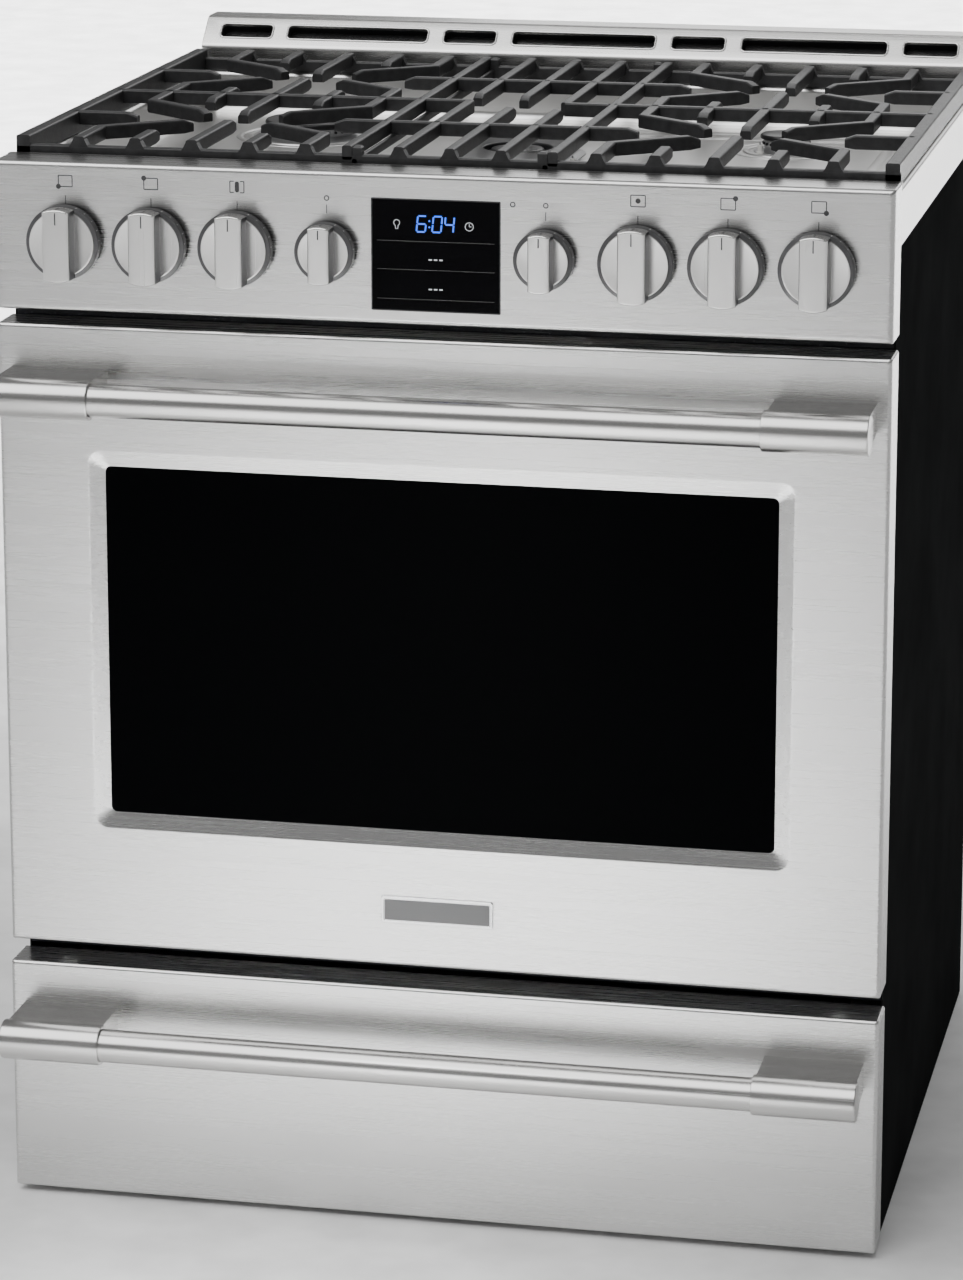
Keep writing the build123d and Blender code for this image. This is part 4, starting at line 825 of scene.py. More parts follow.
# ------------------------------------------------------------------ fronts
@dataclass
class PressedFront:
    """A formed steel front with side returns and, on the door, a pressed window frame."""

    node: str
    name: str
    body: Body
    edge_radius: float = 3.5
    corner: float = 2.0
    sheet: float = 1.5
    window: tuple[Flat, Flat] | None = None
    bevel: float = 13.0
    bevel_depth: float = 4.4
    window_corner: float = 5.0

    def ring(self, inset: float, y: float, corner: float | None = None) -> Ring:
        """One loop of the front's outline.

        Args:
            inset: distance in from the edge, in metres.
            y: place from front to back, in metres.
            corner: corner radius, or None for the front's own.

        Returns:
            The loop.
        """
        low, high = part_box(self.node)
        half = ((high.x - low.x) / 2 - inset, (high.z - low.z) / 2 - inset)
        centre = (0.0, (low.z + high.z) / 2)
        radius = mm(self.corner) if corner is None else corner
        return rounded_ring(half, centre, radius, lambda u, v: Vector((u, y, v)))

    def opening(self, grow: float, y: float, corner: float) -> Ring:
        """One loop round the window.

        Args:
            grow: distance out from the glass edge, in metres.
            y: place from front to back, in metres.
            corner: corner radius in metres.

        Returns:
            The loop.
        """
        (x0, x1), (z0, z1) = self.window
        half = ((x1 - x0) / 2 + grow, (z1 - z0) / 2 + grow)
        centre = ((x0 + x1) / 2, (z0 + z1) / 2)
        return rounded_ring(half, centre, corner, lambda u, v: Vector((u, y, v)))

    def build(self, depth: float = 40.0) -> bpy.types.Object:
        """Make the front.

        Args:
            depth: length of the side returns in millimetres.

        Returns:
            The piece.
        """
        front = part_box(self.node)[0].y
        back = front + mm(depth)
        sheet = mm(self.sheet)
        edge = mm(self.edge_radius)
        rings = [self.ring(sheet, back), self.ring(mm(0.2), back), self.ring(0.0, back - mm(0.2))]
        for inset, rise in quarter_steps(edge):
            rings.append(self.ring(inset, front + edge - rise))
        inner = [self.ring(edge, front + sheet), self.ring(sheet, front + edge), self.ring(sheet, back)]
        if not self.window:
            tray = Shape().stack(inner + rings[1:])
            return tray.piece(self.name, "steel_front", "stainless", self.body, self.node)
        pressed, low = mm(self.bevel), front + mm(self.bevel_depth)
        corner = mm(self.window_corner)
        soft = mm(1.2)
        rings += [
            self.opening(pressed + soft, front, corner + pressed * 0.5),
            self.opening(pressed, front + soft * 0.25, corner + pressed * 0.5),
            self.opening(soft, low - soft * 0.3, corner),
            self.opening(0.0, low, corner),
            self.opening(0.0, low + sheet, corner),
            self.opening(pressed + soft, front + sheet + mm(0.4), corner + pressed * 0.5),
        ]
        shape = Shape().stack(rings + inner[:2], closed=True)
        return shape.piece(self.name, "steel_front", "stainless", self.body, self.node)


@dataclass
class BarHandle:
    """A round bar between two sleeves, each on a solid standoff."""

    prefix: str
    body: Body
    chamfer: float = 1.2
    rise: float = 15.0
    root: float = 25.0
    sleeve_radius: float = 17.0
    inset: float = 2.0

    def build(self) -> None:
        """Make the bar and its two brackets."""
        low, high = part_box(self.prefix + "_handle_brackets")
        bar_low, bar_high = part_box(self.prefix + "_handle_bar")
        radius = (bar_high.z - bar_low.z) / 2
        centre = (bar_low + bar_high) / 2
        length = bar_high.x - bar_low.x
        edge = mm(0.4)
        bar = [(radius - edge, 0.0), (radius, edge), (radius, length - edge), (radius - edge, length)]
        rod = Shape().lathe(bar, (bar_low.x, centre.y, centre.z), (1, 0, 0), 72)
        rod.piece(self.prefix + "_bar", "steel_handle", "handle_metal", self.body,
                  self.prefix + "_handle_bar")
        brackets = Shape()
        for side in (-1, 1):
            self.bracket(brackets, side, high, centre)
        brackets.piece(
            self.prefix + "_brackets", "steel_handle", "handle_metal", self.body,
            self.prefix + "_handle_brackets", smooth=28.0,
        )

    def bracket(self, shape: Shape, side: int, high: Vector, centre: Vector) -> None:
        """Add one sleeve and its standoff.

        Args:
            shape: mesh to add to.
            side: -1 for the left end and 1 for the right.
            high: highest corner of the brackets.
            centre: middle of the bar.
        """
        sleeve = mm(88.0)
        start = high.x - sleeve
        edge = mm(self.chamfer)
        outer = mm(self.sleeve_radius)
        profile = [(outer - edge * 1.4, 0.0), (outer - edge * 0.4, edge * 0.3), (outer, edge * 1.2),
                   (outer, sleeve - edge * 1.2), (outer - edge * 0.4, sleeve - edge * 0.3),
                   (outer - edge * 1.4, sleeve)]
        shape.lathe(profile, (side * start, centre.y, centre.z), (side, 0, 0), 72)
        face, axis = high.y, centre.y
        top = centre.z + mm(self.rise)
        corners = [(face, top), (axis - mm(4), top), (axis - mm(9), centre.z), (axis, centre.z - mm(14)),
                   (axis + mm(6), centre.z - mm(15)), (face, top - mm(self.root))]
        outline = [Vector((0, y, z)) for y, z in corners]
        near = side * (start + mm(self.inset))
        far = side * (high.x - mm(self.inset))
        middle = sum(outline, Vector()) / len(outline)
        rings = []
        inset = side * edge * 0.6
        for x, shrink in ((near, 1.0), (near + inset, 0.0), (far - inset, 0.0), (far, 1.0)):
            ring = []
            for point in outline:
                pull = (middle - point).normalized() * edge * 0.6 * shrink
                ring.append(Vector((x, point.y + (0 if point.y == face else pull.y), point.z + pull.z)))
            rings.append(ring)
        shape.stack(rings)


@dataclass
class Knob:
    """A knob with a dark skirt, a bright disc and a grip bar across it."""

    node: str
    body: str
    marks: int = 7
    spread: float = 110.0
    skirt_depth: float = 9.5
    disc_depth: float = 2.2
    grip_half: float = 11.5
    full_radius: float = 31.5
    edge: float = 1.6
    ring: float = 3.4

    def build(self) -> None:
        """Make the knob's pieces."""
        low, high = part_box(self.node)
        radius = (high.x - low.x) / 2
        centre = Vector(((low.x + high.x) / 2, high.y, (low.z + high.z) / 2))
        out = (0.0, -1.0, 0.0)
        skirt = mm(self.skirt_depth)
        ring = mm(self.ring)
        wall = [(radius - mm(1.6), 0.0), (radius - mm(0.5), mm(0.3)), (radius, mm(1.0)),
                (radius, skirt - mm(0.9)), (radius - mm(0.5), skirt - mm(0.2)), (radius - mm(1.4), skirt),
                (radius - ring - mm(0.1), skirt + mm(0.7)), (radius - ring - mm(0.3), skirt - mm(1))]
        collar = Shape().lathe(wall, centre, out, 96)
        collar.piece(self.node + "_skirt", "knob_skirt", "knob_metal", self.body, self.node)
        disc_end = skirt + mm(self.disc_depth)
        disc = [(radius - ring, skirt - mm(1)), (radius - ring, disc_end - mm(0.8)),
                (radius - ring - mm(0.4), disc_end - mm(0.2)), (radius - ring - mm(1.2), disc_end),
                (radius - ring - mm(5.5), disc_end - mm(0.5)), (mm(1), disc_end - mm(0.5))]
        Shape().lathe(disc, centre, out, 96).piece(self.node + "_disc", "knob_face", "knob_metal", self.body)
        self.grip(centre, radius, disc_end, centre.y - low.y)
        self.ticks(centre, radius, skirt)

    def grip(self, centre: Vector, radius: float, start: float, end: float) -> None:
        """Make the raised bar, its index line and the dark strips on its sides, which are painted shade.

        Args:
            centre: middle of the knob's back.
            radius: radius of the skirt.
            start: height of the disc.
            end: height of the grip's front.
        """
        half = mm(self.grip_half) * radius / mm(self.full_radius)
        reach = radius - mm(0.6)
        edge = mm(self.edge)
        rings = []
        levels = [(start - mm(1), 0.0)]
        levels += [(end - edge + rise, inset) for inset, rise in quarter_steps(edge, 4)]
        for level, inset in levels:
            rings.append(self.outline(centre, half - inset, reach - inset, centre.y - level))
        grip = Shape().stack(rings)
        grip.piece(self.node + "_grip", "knob_face", "knob_metal", self.body, smooth=35.0)
        # painted shade: dark plated strips laid on the grip's two flat sides stand in for their shade
        sides = Shape()
        straight = sqrt(reach * reach - half * half)
        middle = centre.y - (start + end - edge) / 2
        for side in (-1, 1):
            x = centre.x + side * half
            sides.strip(Vector((x, middle, centre.z - straight)), Vector((x, middle, centre.z + straight)),
                        end - edge - start, mm(0.12), Vector((side, 0, 0)))
        sides.piece(self.node + "_grip_sides_painted_shade", "knob_side", "knob_metal", self.body)
        face = centre.y - end
        line = Shape()
        top = reach - edge
        wide, thick = mm(1.1), mm(0.12)
        line.strip(Vector((centre.x, face, centre.z + top * 0.62)),
                   Vector((centre.x, face, centre.z + top - mm(1))), wide, thick, FRONT)
        line.strip(Vector((centre.x, face + mm(1.8), centre.z + reach)),
                   Vector((centre.x, centre.y - start - mm(1), centre.z + reach)), wide, thick, UP)
        line.piece(self.node + "_index", "mark_dark", "knob_metal", self.body)

    def outline(self, centre: Vector, half: float, reach: float, y: float, steps: int = 10) -> Ring:
        """A strip with round ends that follow the knob's edge.

        Args:
            centre: middle of the knob.
            half: half the strip's width.
            reach: radius of its ends.
            y: place from front to back.
            steps: facets in each end.

        Returns:
            The loop.
        """
        turn = asin(min(half / reach, 1.0))
        ring = []
        for base in (pi / 2, -pi / 2):
            for i in range(steps + 1):
                angle = base + turn - 2 * turn * i / steps
                ring.append(Vector((centre.x + reach * cos(angle), y, centre.z + reach * sin(angle))))
        return ring

    def ticks(self, centre: Vector, radius: float, skirt: float) -> None:
        """Make the light marks on the skirt's wall.

        Args:
            centre: middle of the knob's back.
            radius: radius of the skirt.
            skirt: depth of the skirt.
        """
        marks = Shape()
        for i in range(self.marks):
            angle = radians(90.0 - 22.0 - i * self.spread / self.marks)
            facing = Vector((cos(angle), 0.0, sin(angle)))
            spot = centre + facing * radius
            long = 0.45 if i % 3 == 0 else 0.25
            marks.strip(spot + Vector((0, -skirt * 0.8, 0)), spot + Vector((0, -skirt * (0.8 - long), 0)),
                        mm(0.6), mm(0.03), facing)
        marks.piece(self.node + "_marks", "mark_white", "knob_metal", self.body)


# ------------------------------------------------------------------ control panel
class Glyph(Enum):
    """Where the dot lies in a burner's pictogram."""

    FRONT_LEFT = (-1, -1)
    BACK_LEFT = (-1, 1)
    MIDDLE = (0, 0)
    BACK_RIGHT = (1, 1)
    FRONT_RIGHT = (1, -1)
    OVAL = (2, 2)


@dataclass
class ControlPanel:
    """The top front: steel face, printed marks, display and eight knobs."""

    knobs: dict[str, Glyph | None] = field(default_factory=lambda: {
        "burner_1": Glyph.FRONT_LEFT, "burner_2": Glyph.BACK_LEFT, "burner_3": Glyph.OVAL,
        "burner_4": Glyph.MIDDLE, "burner_5": Glyph.BACK_RIGHT, "burner_6": Glyph.FRONT_RIGHT,
        "oven_mode": None, "oven_temperature": None,
    })
    line_low: float = 35.3
    line_high: float = 28.0
    glyph_drop: float = 16.0
    lamp_drop: float = 22.6
    preheat_x: float = 64.7
    ink: float = 0.08
    line: float = 0.85
    dot: float = 2.2

    def build(self) -> None:
        """Make the panel and all that it holds."""
        front = PressedFront("control_panel", "control_panel_face", Body.CABINET, edge_radius=4.5)
        front.build()
        low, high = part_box("control_panel")
        strip = Shape().box((low.x, low.y + mm(38.5), high.z - mm(1.5)), (high.x, high.y, high.z), mm(0.6))
        strip.box((low.x, high.y - mm(1.5), low.z + mm(121.3)), (high.x, high.y, high.z - mm(0.4)), mm(0.5))
        # painted light: the ledge takes the lighter top steel
        strip.piece("control_panel_ledge", "steel_top_painted_light", "stainless", Body.CABINET)
        dress("display", "display_glass")
        marks = Shape()
        for name, glyph in self.knobs.items():
            knob_low, knob_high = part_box("knob_" + name)
            x = (knob_low.x + knob_high.x) / 2
            self.index(marks, x, low.y, high.z)
            if glyph:
                self.pictogram(marks, x, low.y, high.z, glyph)
                body = "burner_knob_" + name[-1]
                Knob("knob_" + name, body).build()
            else:
                self.lamp(marks, x, low.y, high.z)
                Knob("knob_" + name, "oven_knob_" + name[5:], marks=10, spread=200.0).build()
        self.lamp(marks, mm(self.preheat_x), low.y, high.z)
        marks.piece("panel_marks", "mark_dark", "stainless", Body.CABINET)
        Display().build()

    def index(self, shape: Shape, x: float, face: float, top: float) -> None:
        """Add the line above a knob."""
        shape.strip(Vector((x, face, top - mm(self.line_low))), Vector((x, face, top - mm(self.line_high))),
                    mm(0.7), mm(self.ink), FRONT)

    def lamp(self, shape: Shape, x: float, face: float, top: float) -> None:
        """Add the ring round an indicator lamp."""
        centre = Vector((x, face, top - mm(self.lamp_drop)))
        path = upright_circle(centre, mm(1.9), 20)
        shape.tube(path, mm(0.5), sides=6)

    def pictogram(self, shape: Shape, x: float, face: float, top: float, glyph: Glyph) -> None:
        """Add the sign that tells which burner a knob turns on.

        Args:
            shape: mesh to add to.
            x: middle of the knob.
            face: front of the panel.
            top: top of the panel.
            glyph: where the dot lies.
        """
        centre = Vector((x, face, top - mm(self.glyph_drop)))
        across, up = mm(6.0), mm(4.7)
        facing = FRONT
        signs = ((-1, -1), (1, -1), (1, 1), (-1, 1))
        corners = [centre + Vector((sx * across, 0, sz * up)) for sx, sz in signs]
        if glyph is Glyph.OVAL:
            for side in (-1, 1):
                inner, outer = side * across * 0.45, side * across
                for rise in (-up, up):
                    shape.strip(centre + Vector((inner, 0, rise)), centre + Vector((outer, 0, rise)),
                                mm(self.line), mm(self.ink), facing)
                shape.strip(centre + Vector((outer, 0, -up)), centre + Vector((outer, 0, up)),
                            mm(self.line), mm(self.ink), facing)
            ring = rounded_ring((mm(1.8), mm(4.6)), (centre.x, centre.z), mm(1.8),
                                lambda u, v: Vector((u, face - mm(0.05), v)), 5)
            back = [point + Vector((0, mm(0.1), 0)) for point in ring]
            shape.stack([back, ring])
            return
        for start, end in zip(corners, corners[1:] + corners[:1]):
            shape.strip(start, end, mm(self.line), mm(self.ink), facing)
        dx, dz = glyph.value
        spot = centre + Vector((dx * across, 0, dz * up))
        disc = [(mm(self.dot), -mm(0.04)), (mm(self.dot), mm(0.05))]
        shape.lathe(disc, spot, (0, -1, 0), 18)


@dataclass
class Display:
    """The lit clock, icons and dividers behind the black glass."""

    digit_height: float = 13.2
    digit_width: float = 7.4
    stroke: float = 1.25
    slant: float = 0.10
    segments: dict[str, str] = field(default_factory=lambda: {"6": "acdefg", "0": "abcdef", "4": "bcfg"})

    def build(self) -> None:
        """Make the lit marks."""
        low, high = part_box("display_glass")
        face = low.y - mm(0.03)
        centre = Vector(((low.x + high.x) / 2, face, high.z - mm(19.5)))
        clock = Shape()
        for offset, digit in ((-11.8, "6"), (1.4, "0"), (11.6, "4")):
            self.digit(clock, centre + Vector((mm(offset), 0, 0)), digit)
        for rise in (-2.6, 2.6):
            spot = centre + Vector((mm(-5.2), 0, mm(rise)))
            clock.lathe([(mm(0.75), 0.0), (mm(0.75), mm(0.05))], spot, (0, -1, 0), 12)
        clock.piece("display_clock", "blue_light", "window_glass", Body.CABINET)
        signs = Shape()
        self.bulb(signs, centre + Vector((mm(-32.8), 0, mm(-1))))
        self.dial(signs, centre + Vector((mm(28.4), 0, mm(-1))))
        for drop in (29.8, 54.6):
            for offset in (-4.5, 0.0, 4.5):
                spot = Vector((centre.x + mm(offset), face, centre.z - mm(drop)))
                signs.strip(spot - Vector((mm(1.4), 0, 0)), spot + Vector((mm(1.4), 0, 0)), mm(1.1), mm(0.05),
                            FRONT)
        signs.piece("display_signs", "white_light", "window_glass", Body.CABINET)
        lines = Shape()
        for drop in (34.2, 58.1, 82.8):
            z = high.z - mm(drop)
            start, end = Vector((low.x + mm(4), face, z)), Vector((high.x - mm(4), face, z))
            lines.strip(start, end, mm(0.35), mm(0.05),
                        FRONT)
        lines.piece("display_lines", "knob_skirt", "window_glass", Body.CABINET)
        frame_ring = []
        for grow, rise in ((1.2, 0.0), (1.2, 0.35), (0.0, 0.35), (0.0, 0.0)):
            half = ((high.x - low.x) / 2 + mm(grow), (high.z - low.z) / 2 + mm(grow))
            middle = (0.0, (low.z + high.z) / 2)
            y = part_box("control_panel")[0].y + mm(0.1) - mm(rise)
            frame_ring.append(rounded_ring(half, middle, mm(1.0), lambda u, v, y=y: Vector((u, y, v)), 3))
        surround = Shape().stack(frame_ring, closed=True)
        surround.piece("display_surround", "black_trim_and_painted_hole_shade", "window_glass", Body.CABINET)

    def digit(self, shape: Shape, centre: Vector, digit: str) -> None:
        """Add a digit made of seven bars.

        Args:
            shape: mesh to add to.
            centre: middle of the digit.
            digit: the figure.
        """
        w, h = mm(self.digit_width) / 2, mm(self.digit_height) / 2
        ends = {
            "a": ((-w, h), (w, h)), "b": ((w, h), (w, 0)), "c": ((w, 0), (w, -h)), "d": ((-w, -h), (w, -h)),
            "e": ((-w, -h), (-w, 0)), "f": ((-w, 0), (-w, h)), "g": ((-w, 0), (w, 0)),
        }
        trim = mm(self.stroke) * 0.45
        for bar in self.segments[digit]:
            start, end = (Vector((u + v * self.slant, 0, v)) for u, v in ends[bar])
            run = (end - start).normalized() * trim
            shape.strip(centre + start + run, centre + end - run, mm(self.stroke), mm(0.05), FRONT)

    def bulb(self, shape: Shape, centre: Vector) -> None:
        """Add the lamp icon."""
        path = []
        for i in range(19):
            angle = radians(-60 + 300 * i / 18)
            path.append(centre + Vector((mm(2.5) * cos(angle), 0, mm(1.4) + mm(2.5) * sin(angle))))
        path += [centre + Vector((mm(-0.9), 0, mm(-3.6))), centre + Vector((mm(0.9), 0, mm(-3.6)))]
        shape.tube(path, mm(0.28), sides=6)

    def dial(self, shape: Shape, centre: Vector) -> None:
        """Add the clock icon."""
        path = upright_circle(centre, mm(3.4), 24)
        shape.tube(path, mm(0.28), sides=6)
        for reach in (Vector((0, 0, mm(2.2))), Vector((mm(1.7), 0, 0))):
            shape.strip(centre, centre + reach, mm(0.5), mm(0.05), FRONT)


# ------------------------------------------------------------------ door and drawer
@dataclass
class OvenDoor:
    """The door: pressed face, window, blank badge, handle, liner and hinges."""

    glass_lap: float = 12.0

    def build(self) -> None:
        """Make the door."""
        low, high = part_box("door_glass_outer")
        lap = mm(self.glass_lap)
        window = ((low.x + lap, high.x - lap), (low.z + lap, high.z - lap))
        PressedFront("door_panel", "door_face", Body.DOOR, window=window).build()
        dress("window", "door_glass_outer")
        dress("clear", "door_glass_inner")
        dress("enamel", "door_liner")
        dress("tube", "door_hinge_pins")
        BarHandle("door", Body.DOOR).build()
        self.badge()

    def badge(self) -> None:
        """Make the blank badge plate with its rim."""
        low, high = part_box("badge_plate")
        half = ((high.x - low.x) / 2, (high.z - low.z) / 2)
        centre = ((low.x + high.x) / 2, (low.z + high.z) / 2)
        rings = []
        step = low.y + mm(0.5)
        for inset, y in ((0.0, high.y), (0.0, step), (0.5, low.y), (2.0, low.y), (2.4, step)):
            size = (half[0] - mm(inset), half[1] - mm(inset))
            rings.append(rounded_ring(size, centre, mm(2.0), lambda u, v, y=y: Vector((u, y, v)), 4))
        Shape().stack(rings).piece("badge_rim", "badge", "badge_metal", Body.DOOR, "badge_plate")
        plate = []
        for inset, y in ((2.9, low.y + mm(0.55)), (2.9, low.y + mm(0.3)), (3.2, low.y + mm(0.2))):
            size = (half[0] - mm(inset), half[1] - mm(inset))
            plate.append(rounded_ring(size, centre, mm(1.2), lambda u, v, y=y: Vector((u, y, v)), 4))
        Shape().stack(plate).piece("badge_field", "knob_skirt", "badge_metal", Body.DOOR)


@dataclass
class StorageDrawer:
    """The drawer: steel front, handle, box and runners."""

    def build(self) -> None:
        """Make the drawer."""
        PressedFront("drawer_front", "drawer_face", Body.DRAWER).build()
        BarHandle("drawer", Body.DRAWER).build()
        dress("zinc", "drawer_box")


# ------------------------------------------------------------------ cooktop
@dataclass(frozen=True)
class BurnerPlace:
    """Where a round burner stands and how large its cap is."""

    label: str
    bowl: float
    teeth: int


@dataclass
class Cooktop:
    """The steel top: skirt, rim, sunken pan with pressed ribs and rings."""

    pan_side: float = 14.5
    pan_front: float = 24.4
    pan_back: float = 84.0
    pan_depth: float = 39.0
    edge: float = 2.5
    pan_edge: float = 4.0
    pan_corner: float = 16.0
    floor_fillet: float = 9.0
    rib_width: float = 5.0
    rib_height: float = 1.3

    def __post_init__(self) -> None:
        """Work out the pan's limits."""
        low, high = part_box("cooktop")
        self.low, self.high = low, high
        self.floor = high.z - mm(self.pan_depth)
        self.pan = ((low.x + mm(self.pan_side), high.x - mm(self.pan_side)),
                    (low.y + mm(self.pan_front), high.y - mm(self.pan_back)))

    def loop(self, grow: float, z: float, corner: float) -> Ring:
        """One loop of the pan, grown by some metres."""
        (x0, x1), (y0, y1) = self.pan
        half = ((x1 - x0) / 2 + grow, (y1 - y0) / 2 + grow)
        middle = ((x0 + x1) / 2, (y0 + y1) / 2)
        return rounded_ring(half, middle, corner + grow, lambda u, v: Vector((u, v, z)))

    def outer(self, inset: float, z: float) -> Ring:
        """One loop of the skirt, at a height."""
        half = ((self.high.x - self.low.x) / 2 - inset, (self.high.y - self.low.y) / 2 - inset)
        centre = (0.0, (self.low.y + self.high.y) / 2)
        return rounded_ring(half, centre, mm(1.5), lambda u, v: Vector((u, v, z)))

    def build(self) -> None:
        """Make the top and its pressed detail."""
        edge, lip, fillet = mm(self.edge), mm(self.pan_edge), mm(self.floor_fillet)
        top = self.high.z
        rings = [self.outer(0.0, self.low.z)]
        rings += [self.outer(inset, top - edge + rise) for inset, rise in quarter_steps(edge)]
        corner = mm(self.pan_corner)
        rings += [self.loop(-inset, top - rise, corner) for rise, inset in quarter_steps(lip)]
        start = -lip
        rings += [self.loop(start - inset, self.floor + fillet - rise, corner)
                  for inset, rise in quarter_steps(fillet)]
        # painted light: the top sheet takes the lighter pan steel
        Shape().stack(rings).piece("cooktop_sheet", "steel_pan_painted_light", "stainless", Body.CABINET, "cooktop")
        self.ribs()

    def ribs(self) -> None:
        """Press straight ribs and rings into the pan's floor."""
        (x0, x1), (y0, y1) = self.pan
        ribs = Shape()
        for x in (x0 + mm(52), x1 - mm(52)):
            self.rib(ribs, Vector((x, y0 + mm(40), self.floor)), Vector((x, y1 - mm(40), self.floor)))
        for y in (y1 - mm(44), y1 - mm(74)):
            self.rib(ribs, Vector((x0 + mm(80), y, self.floor)), Vector((x1 - mm(80), y, self.floor)))
        for name in ("front_left", "back_left", "front_right", "back_right"):
            low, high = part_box("burner_cap_" + name)
            centre = ((low.x + high.x) / 2, (low.y + high.y) / 2, self.floor)
            base = (high.x - low.x) / 2
            for reach, height in ((base + mm(13), 1.5), (base + mm(24), 1.1)):
                width = mm(3.2)
                path = []
                for i in range(5):
                    angle = pi * i / 4
                    path.append((reach + width * cos(angle), mm(height) * sin(angle)))
                self.ring_bump(ribs, path, centre)
        # painted light: the ribs take the same lighter pan steel
        ribs.piece("pan_ribs", "steel_pan_painted_light", "stainless", Body.CABINET, smooth=60.0)

    def ring_bump(self, shape: Shape, profile: list[Flat], centre: Point, steps: int = 96) -> None:
        """Add a raised ring.

        Args:
            shape: mesh to add to.
            profile: (radius, height) points across the ring.
            centre: middle of the ring on the floor.
            steps: facets around.
        """
        under = [(radius, -mm(0.4)) for radius, _ in (profile[-1], profile[0])]
        rings = []
        for radius, height in profile + under:
            ring = []
            for i in range(steps):
                turn = tau * i / steps
                ring.append(Vector((centre[0] + radius * cos(turn), centre[1] + radius * sin(turn),
                                    centre[2] + height)))
            rings.append(ring)
        shape.stack(rings, closed=True)

    def rib(self, shape: Shape, start: Vector, end: Vector) -> None:
        """Add a straight rib with a round back.

        Args:
            shape: mesh to add to.
            start: its first end on the floor.
            end: its last end on the floor.
        """
        run = (end - start).normalized()
        side = run.cross(UP)
        rings = []
        length = (end - start).length
        for along, share in ((0.0, 0.15), (mm(5), 1.0), (length - mm(5), 1.0), (length, 0.15)):
            ring = []
            for i in range(7):
                angle = pi * i / 6
                ring.append(start + run * along + side * mm(self.rib_width) * cos(angle)
                            + Vector((0, 0, mm(self.rib_height) * sin(angle) * share)))
            ring.append(start + run * along - Vector((0, 0, mm(0.4))))
            rings.append(ring)
        shape.stack(rings)


